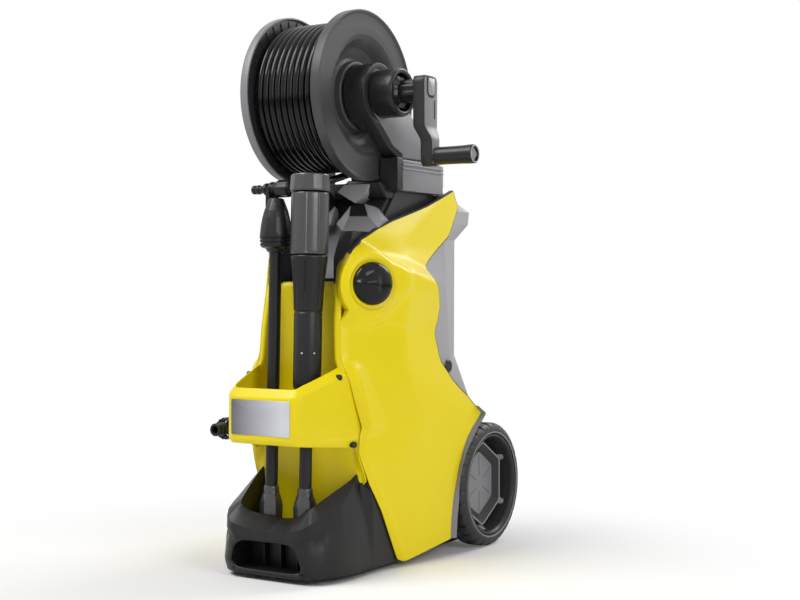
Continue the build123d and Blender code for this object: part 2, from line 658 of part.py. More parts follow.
# ---------------------------------------------------------------- rotary switch
knob_seat_gap = 1.5
knob_rim = 6.0
knob_plane = Plane(origin=on_knob_axis(knob_seat_gap), x_dir=(0, 0, 1), z_dir=tuple(knob_axis))
dome_height = knob_depth - knob_rim
dome_radius = (knob_radius ** 2 + dome_height ** 2) / (2 * dome_height)
dome_middle = knob_depth - dome_radius + math.sqrt(dome_radius ** 2 - knob_radius ** 2 / 4)
knob_edges = Polyline((0, 0, knob_depth), (0, 0, 0), (knob_radius, 0, 0), (knob_radius, 0, knob_rim))
knob_edges += ThreePointArc((knob_radius, 0, knob_rim), (knob_radius / 2, 0, dome_middle), (0, 0, knob_depth))
knob = knob_plane * revolve(make_face(knob_edges), axis=Axis.Z)
save(knob, "switch_knob")
switch_front = 12.0
switch_back = 25.0
shaft_foot = 16.0
save(cylinder(knob_shaft_radius, on_knob_axis(-shaft_foot), on_knob_axis(knob_seat_gap)), "knob_shaft")

switch_plane = Plane(origin=on_knob_axis(-switch_back), x_dir=(0, 0, 1), z_dir=tuple(knob_axis))
switch_height = 30.0
switch_width = 24.0
switch_box = switch_plane * Box(switch_height, switch_width, switch_back - switch_front,
                                align=(Align.CENTER, Align.CENTER, Align.MIN))
switch_box += cylinder(switch_neck, on_knob_axis(-switch_front), on_knob_axis(-boss_depth))
switch_box -= cylinder(knob_shaft_radius + running_fit, on_knob_axis(-shaft_foot), on_knob_axis(0))
save(switch_box, "switch_box")


# ---------------------------------------------------------------- lances
def turned_on_lance(side, profile):
    """A solid of revolution on a lance's axis from (distance from the foot, radius) points."""
    plane = Plane(origin=lance_point(side, 0), x_dir=(1, 0, 0), z_dir=tuple(lance_axis))
    face = make_face(Polyline(*[(r, 0, t) for t, r in profile], close=True))
    return plane * revolve(face, axis=Axis.Z)


lance_length = lance_top_z - lance_foot_z
fitting_foot = soft_gap - cup_depth
fitting_top = fitting_foot + fitting_length + 12.0
fitting_profile = [(fitting_foot, 0), (fitting_foot, fitting_radius - 4), (fitting_foot + 6, fitting_radius),
                   (fitting_foot + fitting_length, fitting_radius), (fitting_top, lance_tube_radius + 2),
                   (fitting_top, 0)]
nozzle_foot = lance_length - 12.0
save(turned_on_lance(-1, fitting_profile), "rotor_lance_fitting")
rotor_tube = cylinder(lance_tube_radius, lance_point(-1, fitting_top), lance_point(-1, nozzle_foot))
save(rotor_tube, "rotor_lance_tube")
nozzle_profile = [(nozzle_foot, 0), (nozzle_foot, 12), (nozzle_foot + 6, nozzle_radius - 1),
                  (nozzle_foot + 12, nozzle_radius), (nozzle_foot + 26, nozzle_radius),
                  (nozzle_foot + 48, nozzle_radius - 4), (nozzle_foot + nozzle_length, nozzle_radius - 11),
                  (nozzle_foot + nozzle_length + 10, nozzle_radius - 14),
                  (nozzle_foot + nozzle_length + 10, 0)]
save(turned_on_lance(-1, nozzle_profile), "rotor_nozzle")

save(turned_on_lance(1, fitting_profile), "spray_lance_fitting")
lower_foot = 176.0
lower_top = lance_length - 66.0
sleeve_foot = lance_length - 16.0
sleeve_top = sleeve_foot + 86.0
cap_top = sleeve_top + 25.0
save(cylinder(lance_tube_radius, lance_point(1, fitting_top), lance_point(1, lower_foot)), "spray_lance_tube")
body_profile = [(lower_foot, 0), (lower_foot, lower_sleeve_radius - 2), (lower_foot + 8, lower_sleeve_radius),
                (lower_top, lower_sleeve_radius + 1.5), (sleeve_foot - seam, sleeve_radius - 1),
                (sleeve_foot - seam, 12), (sleeve_top - 4, 12), (sleeve_top - 4, 0)]
save(turned_on_lance(1, body_profile), "spray_lance_body")
sleeve_bore = 12.0 + running_fit
sleeve_profile = [(sleeve_foot, sleeve_bore), (sleeve_foot, sleeve_radius), (sleeve_top, sleeve_radius - 1),
                  (sleeve_top, 18), (sleeve_top - 3, 18), (sleeve_top - 3, sleeve_bore)]
save(turned_on_lance(1, sleeve_profile), "spray_sleeve")
cap_profile = [(sleeve_top - 2.5, 7), (sleeve_top - 2.5, 17), (sleeve_top + seam, 17),
               (sleeve_top + seam, cap_top_radius - 1.5), (cap_top, cap_top_radius - 3),
               (cap_top, cap_top_radius - 9), (cap_top - 8, 7)]
save(turned_on_lance(1, cap_profile), "spray_cap")

# ---------------------------------------------------------------- water inlet
inlet_root_x = -88.0
inlet_tip_y = -66.0
inlet_collar_radius = 16.0
inlet_body_radius = 12.5
inlet_neck_radius = 7.0
inlet_bore_radius = 6.0
collar_back_y = -28.0
collar_front_y = -46.0


def inlet_step(radius, back_y, front_y):
    """A round step of the inlet between two depths."""
    return cylinder(radius, (inlet_x, back_y, inlet_z), (inlet_x, front_y, inlet_z))


elbow = cylinder(elbow_radius, (inlet_root_x, inlet_y, inlet_z), (inlet_x - 4, inlet_y, inlet_z))
elbow += inlet_step(inlet_body_radius, inlet_y + 12, collar_back_y)
elbow += inlet_step(inlet_neck_radius, collar_back_y, collar_front_y)
save(elbow, "inlet_elbow")
collar = inlet_step(inlet_collar_radius, collar_back_y - seam, collar_front_y)
collar -= inlet_step(inlet_neck_radius + running_fit, collar_back_y, collar_front_y - 1)
save(collar, "inlet_collar")
nipple = inlet_step(inlet_radius, collar_front_y - seam, inlet_tip_y)
nipple += inlet_step(inlet_radius + 1.5, -53, -56)
nipple -= inlet_step(inlet_bore_radius, collar_front_y, inlet_tip_y - 1)
save(nipple, "inlet_nipple")

# ---------------------------------------------------------------- hose plug and its holder


def plug_step(radius, start, end):
    """A round step of the plug between two distances from its hose end."""
    return cylinder(radius, (plug_right - start, plug_y, plug_z), (plug_right - end, plug_y, plug_z))


plug_grip = plug_step(11, 0, 8) + plug_step(13, 8, 28) + plug_step(10, 28, 32)
save(plug_grip, "plug_grip")
plug_body = plug_step(8, 32, 40) + plug_step(10, 40, 50) + plug_step(5, 50, 64) + plug_step(6, 62, 71)
save(plug_body, "plug_nipple")
holder_x = plug_right - 36.0
holder = block((holder_x - 3, plug_y - 12, plug_z - 30), (holder_x + 3, plug_y + 12, plug_z + 3))
holder -= cylinder(8.0 + soft_gap, (holder_x - 20, plug_y, plug_z), (holder_x + 20, plug_y, plug_z))
holder -= block((holder_x - 5, plug_y - 7, plug_z), (holder_x + 5, plug_y + 7, plug_z + 10))
holder += block((holder_x - 3, plug_y - 6, pillar_top_z), (holder_x + 3, plug_y + 12, plug_z - 26))
holder += block((holder_x - 3, plug_y + 10, pillar_top_z), (holder_x + 3, plug_y + 34, pillar_top_z + 8))
save(holder, "plug_holder")

# ---------------------------------------------------------------- hose tail from the wound hose to the plug
lay_radius = wound_radius + hose_radius + soft_gap
tail_run = 19.3
turn_step = 22.5
tail_heights = [0.0, 1.5, 5.0, 9.5, 14.5, 18.5]
tail_gap = 0.8                  # the tail's end stands this far from the plug's grip
tail_route = [(plug_right + tail_gap, plug_y, plug_z)]
for step, rise in enumerate(tail_heights[1:]):
    heading = math.radians(min(90.0, turn_step * step))
    last = tail_route[-1]
    tail_route.append((last[0] + tail_run * math.cos(heading), last[1] + tail_run * math.sin(heading),
                       plug_z + rise))
tail_route.append((tail_route[-1][0], tail_route[-1][1] + tail_run, reel_z - lay_radius))


def tail_radii(route):
    """The largest arc that fits at each corner of a route."""
    radii = []
    for before, corner, after in zip(route, route[1:], route[2:]):
        run_in = Vector(*corner) - Vector(*before)
        run_out = Vector(*after) - Vector(*corner)
        turn = math.radians(run_in.get_angle(run_out))
        radii.append(0.45 * min(run_in.length, run_out.length) / math.tan(turn / 2))
    return radii


radii = tail_radii(tail_route)
print("tail radii", [round(radius, 1) for radius in radii])
tail_path = FilletPolyline(*tail_route, radius=radii)
tail_start = Plane(origin=tail_route[0], z_dir=Vector(*tail_route[1]) - Vector(*tail_route[0]))
tail = sweep(tail_start * Circle(hose_radius), path=tail_path)
save(tail, "hose_tail")
print("tail", round(tail.volume / (math.pi * hose_radius ** 2), 1), round(tail_path.length, 1))

# ---------------------------------------------------------------- cable hooks, gland and screws
hook_y = 250.0
hook_z = deck_top_z + 15.0
hook_top_z = hook_z + 10.0
upper_hook = block((20, hook_y, hook_z), (56, hook_y + 34, hook_top_z))
upper_hook += block((20, hook_y + 26, hook_z), (56, hook_y + 34, hook_top_z + 24))
upper_hook += block((26, hook_y, hook_z - 26), (50, hook_y + 8, hook_top_z))
save(upper_hook, "cable_hook_upper")
lower_hook_y = 238.0
lower_hook_z = 280.0
lower_hook_end_x = rear_half + 28.0
lower_hook = cylinder(8.0, (lower_hook_end_x - 14, lower_hook_y, lower_hook_z),
                      (lower_hook_end_x, lower_hook_y, lower_hook_z))
lower_hook += cylinder(12.0, (lower_hook_end_x - 3, lower_hook_y, lower_hook_z),
                       (lower_hook_end_x, lower_hook_y, lower_hook_z))
lower_hook = (lower_hook - rear_shell).solids().sort_by(Axis.X)[-1]
save(lower_hook, "cable_hook_lower")
save(tube(gland_radius - seam, 4.5, (0, gland_y - 14, gland_z), (0, gland_y + 12, gland_z)), "cable_gland")

screw_radius = 3.5
screw_head = 1.5
screw_inset = 8.0               # a band screw stands this far in from the band's end
screws = []
for side in (-1, 1):
    pillar_screw_z = cover_top_z + 9
    screws.append(cylinder(screw_radius, (side * 56, -6 - screw_head, pillar_screw_z),
                           (side * 56, -6, pillar_screw_z)))
    for height in (band_low_z + 8, band_high_z - 12):
        end = Vector(at_height(front_x, height) - seam, at_height(front_y, height) - seam, height)
        run = Vector(band_front_half - end.X, band_front_y - end.Y, 0).normalized()
        seat = end + run * screw_inset
        top = seat + Vector(-run.Y, run.X, 0) * screw_head
        screws.append(cylinder(screw_radius, (side * seat.X, seat.Y, height), (side * top.X, top.Y, height)))
save(Compound(screws), "cover_screws")

# ---------------------------------------------------------------- motor and pump inside the body
motor_x = 0.0
motor_y = 130.0
motor_radius = 52.0
shaft_radius = 6.0
pump_block_low = base_plate_top
pump_block_high = 66.0
gear_top = 112.0
motor_top = 246.0
fan_top = 266.0
cap_top_z = 284.0


def upright(radius, low, high):
    """A cylinder on the motor's vertical axis."""
    return cylinder(radius, (motor_x, motor_y, low), (motor_x, motor_y, high))


pump_head = block((-44, motor_y - 46, pump_block_low), (44, motor_y + 46, pump_block_high))
pump_head = fillet(pump_head.edges().filter_by(Axis.Z), radius=12)
pump_port = cylinder(9.0, (-44, motor_y - 20, 40), (-58, motor_y - 20, 40))
suction_port = cylinder(9.0, (-44, motor_y + 20, 40), (-58, motor_y + 20, 40))
save(pump_head + pump_port + suction_port, "pump_head")
gear_case = upright(46, pump_block_high, gear_top) - upright(34, pump_block_high + 6, gear_top - 5)
gear_case -= upright(shaft_radius + running_fit, pump_block_high + 6, gear_top)
save(gear_case, "gear_case")
wobble = upright(28, pump_block_high + 12, pump_block_high + 22)
wobble += upright(shaft_radius, pump_block_high + 8, fan_top - 3)
save(wobble, "motor_shaft")
motor_can = upright(motor_radius, gear_top, motor_top)
motor_can -= upright(shaft_radius + running_fit, gear_top, motor_top)
save(motor_can, "motor_can")
fan_hub = upright(14, motor_top + 4, fan_top - 4) - upright(shaft_radius, motor_top, fan_top)
for blade in range(9):
    vane = block((12, -1.2, motor_top + 4), (44, 1.2, fan_top - 4))
    fan_hub += Pos(motor_x, motor_y, 0) * Rot(0, 0, 40 * blade) * vane
save(fan_hub, "motor_fan")
can_wall = 4.0
vent_radius = 20.0
shroud = upright(motor_radius, motor_top, cap_top_z)
shroud -= upright(motor_radius - can_wall, motor_top, fan_top + 2)
shroud -= upright(vent_radius, fan_top, cap_top_z)
save(shroud, "fan_shroud")
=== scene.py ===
# %% [markdown]
# ## A tower pressure washer with a hose reel
# The machine was drawn first as exact solids, packed with its joints, and comes in here as a fixed frame.
# Everything below gives that frame its looks: smooth moulded shells, a wound hose, turned nozzles, wheels
# with tread, and a finish for each material. Each step is a text cell that says what the piece is and why
# it is made the way it is, and then one or more short code cells.
#
# First the frame is loaded.

# %% The frame
import json
import math

import bmesh
import bpy
import numpy as np
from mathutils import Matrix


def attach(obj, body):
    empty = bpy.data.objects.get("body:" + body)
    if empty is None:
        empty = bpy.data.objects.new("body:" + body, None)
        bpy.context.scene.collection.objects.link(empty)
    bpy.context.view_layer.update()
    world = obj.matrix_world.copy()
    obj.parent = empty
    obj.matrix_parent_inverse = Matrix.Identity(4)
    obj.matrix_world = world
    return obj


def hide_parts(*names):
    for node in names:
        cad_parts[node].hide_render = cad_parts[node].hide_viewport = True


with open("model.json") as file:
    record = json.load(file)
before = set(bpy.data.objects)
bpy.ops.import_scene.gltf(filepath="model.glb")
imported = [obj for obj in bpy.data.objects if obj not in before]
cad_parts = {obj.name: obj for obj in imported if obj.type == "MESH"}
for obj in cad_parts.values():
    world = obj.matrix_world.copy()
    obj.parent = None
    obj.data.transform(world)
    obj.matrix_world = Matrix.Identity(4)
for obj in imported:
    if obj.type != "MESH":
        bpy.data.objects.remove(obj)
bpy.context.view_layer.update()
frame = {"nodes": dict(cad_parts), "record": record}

nodes = frame["nodes"]

# %% [markdown]
# ## Helpers for every surface
# A surface here is a grid of points: a function of two parameters worked out for all values at once.
# The faces between the points are always the same pattern, so one helper numbers them, and another one
# hands points and faces to Blender. It also merges doubled points at poles, turns the faces outwards,
# marks the edges that stay crisp, and ties the piece to the body that carries it.

# %% Grid faces and a piece from points
MM = 0.001


def grid_faces(rows, columns, wrap_rows=False, wrap_columns=False):
    """Corner numbers of every cell of a grid whose points are numbered row by row."""
    row = np.arange(rows if wrap_rows else rows - 1)
    column = np.arange(columns if wrap_columns else columns - 1)
    row, column = np.meshgrid(row, column, indexing="ij")
    next_row, next_column = (row + 1) % rows, (column + 1) % columns
    corners = [row * columns + column, row * columns + next_column,
               next_row * columns + next_column, next_row * columns + column]
    return np.stack(corners, -1).reshape(-1, 4).tolist()


def joined(parts):
    """Several (points, faces) pairs as one: the faces of each count on from the points before it."""
    points, faces, count = [], [], 0
    for part_points, part_faces in parts:
        points.append(np.asarray(part_points, float).reshape(-1, 3))
        faces.extend([[int(i) + count for i in face] for face in part_faces])
        count += len(points[-1])
    return np.concatenate(points), faces


def lay_piece(name, shape, finish, body="machine", stands_for=(), crisp=35.0, bevel=0.0, wall=0.0):
    """A piece from (points in millimetres, faces). A wall turns an open sheet into a shell, inwards."""
    points, faces = shape
    mesh = bpy.data.meshes.new(name)
    mesh.from_pydata((np.asarray(points, float).reshape(-1, 3) * MM).tolist(), [], faces)
    work = bmesh.new()
    work.from_mesh(mesh)
    bmesh.ops.remove_doubles(work, verts=work.verts, dist=1e-6)
    bmesh.ops.dissolve_degenerate(work, edges=work.edges, dist=1e-7)
    bmesh.ops.recalc_face_normals(work, faces=work.faces)
    if wall:                             # an open sheet's outside is the side that looks away from its middle
        middles = np.array([face.calc_center_median() for face in work.faces])
        facing = np.array([face.normal * face.calc_area() for face in work.faces])
        if np.sum(facing * (middles - middles.mean(0))) < 0:
            bmesh.ops.reverse_faces(work, faces=work.faces)
    work.to_mesh(mesh)
    work.free()
    mesh.materials.append(finish)
    mesh.shade_smooth()
    mesh.set_sharp_from_angle(angle=math.radians(crisp))
    piece = bpy.data.objects.new(name, mesh)
    bpy.context.scene.collection.objects.link(piece)
    if wall:
        shell = piece.modifiers.new("wall", "SOLIDIFY")
        shell.thickness = wall * MM
        shell.offset = -1.0
    if bevel:
        edge = piece.modifiers.new("edges", "BEVEL")
        edge.width = bevel * MM
        edge.segments = 2
        edge.limit_method = "ANGLE"
        edge.angle_limit = math.radians(crisp)
    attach(piece, body)
    if stands_for:
        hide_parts(*stands_for)
    print(name, len(mesh.vertices), "points")
    return piece


# %% [markdown]
# Four ways of making points cover nearly everything: a path with its corners rounded, a profile turned
# about an axis, a row of rings joined into a skin, and a plate cut from an outline.

# %% Rounded paths, turned profiles, lofts and plates
def rounded(outline, radius, steps=5, closed=True):
    """Each corner P becomes a curve (1-t)^2 A + 2t(1-t) P + t^2 B; A and B lie `radius` away on its sides."""
    corner = np.asarray(outline, float)
    reach = np.broadcast_to(np.asarray(radius, float), (len(corner),))[:, None]
    curve_ends = []
    for shift in (1, -1):
        way = np.roll(corner, shift, 0) - corner
        length = np.linalg.norm(way, axis=1, keepdims=True) + 1e-9
        curve_ends.append(corner + way / length * np.minimum(reach, 0.48 * length))
    t = np.linspace(0, 1, steps)[:, None, None]
    curve = (1 - t) ** 2 * curve_ends[0] + 2 * t * (1 - t) * corner + t ** 2 * curve_ends[1]
    curve = curve.transpose(1, 0, 2)
    if closed:
        return curve.reshape(-1, corner.shape[1])
    return np.concatenate([corner[:1], curve[1:-1].reshape(-1, corner.shape[1]), corner[-1:]])


def turned(profile, centre, axis, around=64, loop=True, bumps=None):
    """Points centre + s axis + (r + bumps) (side cos + up sin) for the (s, r) points of a profile."""
    along, radius = np.asarray(profile, float).T
    axis = np.asarray(axis, float) / np.linalg.norm(axis)
    helper = np.array([0.0, 0.0, 1.0]) if abs(axis[2]) < 0.9 else np.array([0.0, 1.0, 0.0])
    side = np.cross(helper, axis)
    side /= np.linalg.norm(side)
    up = np.cross(axis, side)
    angle = np.arange(around) * 2 * np.pi / around
    reach = np.repeat(radius[:, None], around, axis=1)
    if bumps:
        reach = reach + bumps(along[:, None], angle, radius[:, None])
    points = (np.asarray(centre, float) + along[:, None, None] * axis
              + reach[..., None] * (np.cos(angle)[:, None] * side + np.sin(angle)[:, None] * up))
    return points.reshape(-1, 3), grid_faces(len(along), around, wrap_rows=loop, wrap_columns=True)


def lofted(rings):
    """A skin over closed rings of equally many points, with a flat cap on the first and the last ring."""
    rings = np.asarray(rings, float)
    count, around = rings.shape[:2]
    caps = [list(range(around)), list(range((count - 1) * around, count * around))]
    return rings.reshape(-1, 3), grid_faces(count, around, wrap_columns=True) + caps


def ribbon(lines):
    """A closed skin over lines that run side by side, each given as its x, y and z values."""
    return lofted(np.stack([np.column_stack(line) for line in lines], 1))


def inset(outline, width):
    """A closed outline moved inwards by a small width, along the mean of each corner's two side normals."""
    outline = np.asarray(outline, float)
    x, y = outline.T
    if np.sum(x * np.roll(y, -1) - y * np.roll(x, -1)) < 0:
        width = -width
    way = np.roll(outline, -1, 0) - outline
    normal = np.stack([-way[:, 1], way[:, 0]], 1)
    normal /= np.linalg.norm(normal, axis=1, keepdims=True) + 1e-9
    inwards = normal + np.roll(normal, 1, 0)
    inwards /= np.maximum(np.sum(inwards * normal, 1, keepdims=True), 0.4)
    return outline + inwards * width


def plate(outline, low, high, across, edge=0.8):
    """A plate with rounded rims, whose outline stands from low to high along the axis `across`."""
    rings = []
    for height, width in ((low, edge), (low + 0.3 * edge, 0.3 * edge), (low + edge, 0),
                          (high - edge, 0), (high - 0.3 * edge, 0.3 * edge), (high, edge)):
        flat = inset(outline, width)
        rings.append(np.insert(flat, "xyz".index(across), height, axis=1))
    return lofted(rings)


def bar(start, end, radius, around=16, edge=0.5):
    """A round pin between two points, with rounded rims."""
    start, end = np.asarray(start, float), np.asarray(end, float)
    length = np.linalg.norm(end - start)
    profile = [(0, 0), (0, radius - edge), (edge, radius),
               (length - edge, radius), (length, radius - edge), (length, 0)]
    return turned(profile, start, end - start, around, loop=False)


def box(low, high, edge=0.8):
    """A block between two corners, with the rims of its top and bottom rounded."""
    (x0, y0, z0), (x1, y1, z1) = low, high
    return plate([(x0, y0), (x1, y0), (x1, y1), (x0, y1)], z0, z1, "z", edge)


def mirrored(shape):
    """The same shape on the machine's other side."""
    return np.asarray(shape[0]).reshape(-1, 3) * (-1.0, 1.0, 1.0), shape[1]


def both_sides(shape):
    """A shape and its mirror image as one."""
    return joined([shape, mirrored(shape)])


# %% [markdown]
# ## Camera, floor and light
# The camera stands low and to the machine's right, level, nearly two metres away, with a long lens,
# which keeps upright lines upright. The floor is a plain pale sheet that keeps a soft shadow. The background
# is white to the camera and to reflections only, so that it adds no light of its own: three large soft lamps
# and a plain grey sky light the machine.

# %% Camera
camera_data = bpy.data.cameras.new("camera")
camera = bpy.data.objects.new("camera", camera_data)
bpy.context.scene.collection.objects.link(camera)
camera.location = (1.1062, -1.546, 0.3909)
camera.rotation_euler = (math.radians(90.0), 0.0, math.radians(31.7))
camera_data.sensor_width = 36.0
camera_data.lens = 60.17
camera_data.shift_y = -0.00875
bpy.context.scene.camera = camera


# %% Shader nodes and what feeds them
def feed(tree, node, inputs):
    """Each named socket of the node takes a plain value, or a link from another node's output."""
    for socket, value in inputs.items():
        if isinstance(value, bpy.types.NodeSocket):
            tree.links.new(value, node.inputs[socket])
        else:
            node.inputs[socket].default_value = value


def shade(tree, kind, inputs, **settings):
    """A new shader node with its settings and inputs; what comes back is the list of its outputs."""
    node = tree.nodes.new("ShaderNode" + kind)
    for setting, value in settings.items():
        setattr(node, setting, value)
    feed(tree, node, inputs)
    return node.outputs


# %% White background, plain sky
WHITE = (1.0, 1.0, 1.0, 1.0)
sky_strength = 0.24
scene = bpy.context.scene
scene.view_settings.view_transform = "Standard"
scene.world = bpy.data.worlds.new("studio")
scene.world.use_nodes = True
sky = scene.world.node_tree
sky.nodes.clear()
ray = shade(sky, "LightPath", {})
seen = shade(sky, "Math", {0: ray["Is Camera Ray"], 1: ray["Is Transmission Ray"]}, operation="MAXIMUM")
seen = shade(sky, "Math", {0: seen[0], 1: ray["Is Glossy Ray"]}, operation="MAXIMUM")
grey_light = shade(sky, "Background", {"Color": WHITE, "Strength": sky_strength})
white_view = shade(sky, "Background", {"Color": WHITE, "Strength": 1.0})
mixed = shade(sky, "MixShader", {0: seen[0], 1: grey_light[0], 2: white_view[0]})
shade(sky, "OutputWorld", {0: mixed[0]})

# %% Floor: pale paper with a soft shadow, which fades to white away from the machine
half_floor = 30.0
fade_from, fade_to = 0.18, 0.8
floor_mesh = bpy.data.meshes.new("floor")
floor_corners = [(x * half_floor, y * half_floor, 0) for x, y in ((-1, -1), (1, -1), (1, 1), (-1, 1))]
floor_mesh.from_pydata(floor_corners, [], [(0, 1, 2, 3)])
floor = bpy.data.objects.new("floor", floor_mesh)
scene.collection.objects.link(floor)
paper = bpy.data.materials.new("floor_paper")
paper.use_nodes = True
floor_mesh.materials.append(paper)
tree = paper.node_tree
shader = tree.nodes["Principled BSDF"]
feed(tree, shader, {"Base Color": (0.93, 0.93, 0.93, 1.0), "Roughness": 0.85, "Specular IOR Level": 0.1})
distance = shade(tree, "VectorMath", {0: shade(tree, "TexCoord", {})["Object"]}, operation="LENGTH")
far = shade(tree, "MapRange", {"Value": distance["Value"], "From Min": fade_from, "From Max": fade_to},
            interpolation_type="SMOOTHSTEP")
ray = shade(tree, "LightPath", {})
seen = shade(tree, "Math", {0: far[0], 1: ray["Is Camera Ray"]}, operation="MULTIPLY")
glow = shade(tree, "Emission", {"Color": WHITE})
mixed = shade(tree, "MixShader", {0: seen[0], 1: shader.outputs[0], 2: glow[0]})
feed(tree, tree.nodes["Material Output"], {"Surface": mixed[0]})


# %% Lamps
def soft_lamp(name, place, aim, width, power):
    """A square lamp that looks from its place at a point."""
    data = bpy.data.lights.new(name, "AREA")
    data.shape = "SQUARE"
    data.size = width
    data.energy = power
    lamp = bpy.data.objects.new(name, data)
    scene.collection.objects.link(lamp)
    lamp.location = place
    way = np.array(aim, float) - np.array(place, float)
    flat = math.hypot(way[0], way[1])
    lamp.rotation_euler = (math.pi / 2 + math.atan2(way[2], flat), 0.0, math.atan2(-way[0], way[1]))


soft_lamp("key", (-1.2, -1.7, 3.0), (0.0, 0.1, 0.4), 1.9, 86.0)
soft_lamp("fill", (2.6, -0.9, 1.4), (0.0, 0.1, 0.35), 1.4, 27.0)
soft_lamp("back", (0.9, 2.4, 2.2), (0.0, 0.1, 0.5), 1.4, 40.0)
print("camera, floor and lamps set")

# %% [markdown]
# ## Finishes
# The machine is nearly all moulded plastic, in yellow, black and several greys, plus rubber, a silver plate
# and turned steel. A mould leaves a fine spark-eroded grain, and the colour drifts a little over a large
# part, so every finish is built the same way: a slow noise shifts the colour, a fine noise roughens the
# surface and gives the bump, and rubbed edges come out slightly lighter. All patterns read the object's own
# coordinates in metres, so the grain has one size everywhere.


# %% One builder for moulded and turned surfaces
def srgb(red, green, blue):
    """A colour as a screen shows it (0 to 255), turned into the linear values that shaders use."""
    value = np.array([red, green, blue], float) / 255.0
    linear = np.where(value <= 0.04045, value / 12.92, ((value + 0.055) / 1.055) ** 2.4)
    return (*[float(v) for v in linear], 1.0)


def shifted(colour, share):
    """The same colour, lighter (share above 1) or darker (below 1)."""
    return (*[min(1.0, c * share) for c in colour[:3]], 1.0)


def blend(tree, share, first, second):
    """A colour that goes from the first one to the second one as the share goes from 0 to 1."""
    return shade(tree, "Mix", {0: share, 6: first, 7: second}, data_type="RGBA")[2]


def surface_finish(name, colour, rough, grain, bump, drift=0.08, metal=0.0, coat=0.0, wear=1.15,
                   specular=0.5):
    """Colour drifts by a slow noise; roughness and bump follow a fine noise of `grain` bumps per metre."""
    fleck = 0.04                                          # how far the roughness strays to each side
    finish = bpy.data.materials.new(name)
    finish.use_nodes = True
    tree = finish.node_tree
    place = shade(tree, "TexCoord", {})["Object"]
    slow = shade(tree, "TexNoise", {"Vector": place, "Scale": 9.0, "Detail": 3.0})["Fac"]
    fine = shade(tree, "TexNoise", {"Vector": place, "Scale": grain, "Detail": 2.0})["Fac"]
    edge = shade(tree, "MapRange", {"Value": shade(tree, "NewGeometry", {})["Pointiness"],
                                    "From Min": 0.53, "From Max": 0.62, "To Max": 0.6})[0]
    tint = blend(tree, slow, shifted(colour, 1.0 - drift), shifted(colour, 1.0 + drift))
    rubbed = blend(tree, edge, tint, shifted(colour, wear))
    gloss = shade(tree, "MapRange", {"Value": fine, "To Min": max(0.02, rough - fleck),
                                     "To Max": rough + fleck})[0]
    relief = shade(tree, "Bump", {"Height": fine, "Strength": bump, "Distance": 0.0004})[0]
    feed(tree, tree.nodes["Principled BSDF"], {
        "Base Color": rubbed, "Roughness": gloss, "Normal": relief, "Metallic": metal, "Coat Weight": coat,
        "Coat Roughness": 0.12, "Specular IOR Level": specular})
    return finish


YELLOW = surface_finish("yellow_shell", srgb(238, 216, 8), 0.33, 900.0, 0.05, drift=0.02, wear=1.04,
                        specular=0.3)
BLACK = surface_finish("black_plastic", srgb(25, 25, 26), 0.36, 1500.0, 0.18, wear=1.5, specular=0.3)
CHARCOAL = surface_finish("charcoal_plastic", srgb(46, 46, 47), 0.34, 1500.0, 0.15, wear=1.4, specular=0.25)
SATIN = surface_finish("satin_black", srgb(32, 32, 33), 0.28, 1200.0, 0.08, wear=1.6, specular=0.3)
GREY = surface_finish("grey_shell", srgb(126, 126, 130), 0.42, 1500.0, 0.15, wear=1.2)
PALE = surface_finish("pale_grey", srgb(158, 158, 161), 0.4, 1500.0, 0.12, wear=1.15)
RUBBER = surface_finish("tyre_rubber", srgb(38, 38, 40), 0.45, 900.0, 0.3, wear=1.4, specular=0.4)
HOSE = surface_finish("hose_skin", srgb(5, 5, 6), 0.16, 600.0, 0.05, drift=0.15, wear=1.0, specular=0.3)
STEEL = surface_finish("turned_steel", srgb(190, 191, 194), 0.28, 2200.0, 0.1, metal=1.0, wear=1.05)
# Deep black for the screws, seals, grip pocket and tray floor, and painted shade where it fills the latch's
# gap, the crank's edge line and the yoke's slot.
DEEP_BLACK_AND_SHADE = surface_finish("deep_black", srgb(14, 14, 15), 0.5, 1200.0, 0.1, wear=1.0)
GLOSS = surface_finish("glossy_black", srgb(9, 9, 11), 0.18, 600.0, 0.01, wear=1.2, coat=0.06, specular=0.25)
SILVER_PAINTED_SHEEN = surface_finish("silver_plate", srgb(176, 176, 180), 0.3, 1400.0, 0.06, metal=0.55, wear=1.05)
# A lighter copy of the charcoal plastic: painted light, for the lit right flange only.
LIT_CHARCOAL = surface_finish("charcoal_painted_lit", srgb(70, 70, 71), 0.36, 1400.0, 0.12, specular=0.3)
SLATE = surface_finish("slate_plastic", srgb(50, 50, 52), 0.28, 1400.0, 0.12, wear=1.3, specular=0.8)

# %% Badge finish: painted sheen, the silver painted lighter from left to right
painted_sheen_from, painted_sheen_to = -0.049, 0.035
badge_tree = SILVER_PAINTED_SHEEN.node_tree
# Painted sheen: the base colour runs from dark to light silver across the plate.
badge_x = shade(badge_tree, "SeparateXYZ", {0: shade(badge_tree, "TexCoord", {})["Object"]})["X"]
badge_painted_sheen = shade(badge_tree, "MapRange", {"Value": badge_x, "From Min": painted_sheen_from,
                                             "From Max": painted_sheen_to})[0]
feed(badge_tree, badge_tree.nodes["Principled BSDF"],
     {"Base Color": blend(badge_tree, badge_painted_sheen, srgb(104, 104, 110), srgb(214, 214, 222))})
print("finishes", len(bpy.data.materials))

# %% [markdown]
# ## The hose
# The high-pressure hose is wound round the drum in one neat layer of nine turns, each a hose's thickness
# from the next. It is one curve: a helix made of control points on a circle that shifts along the axle. A
# smooth curve cuts a little inside its control points, so their circle is slightly larger than the lay.
# From the last turn a short free end leaves the reel at its underside and runs to the parked plug. It is a
# second curve, because the wound part turns with the reel and the plug is held on the machine.

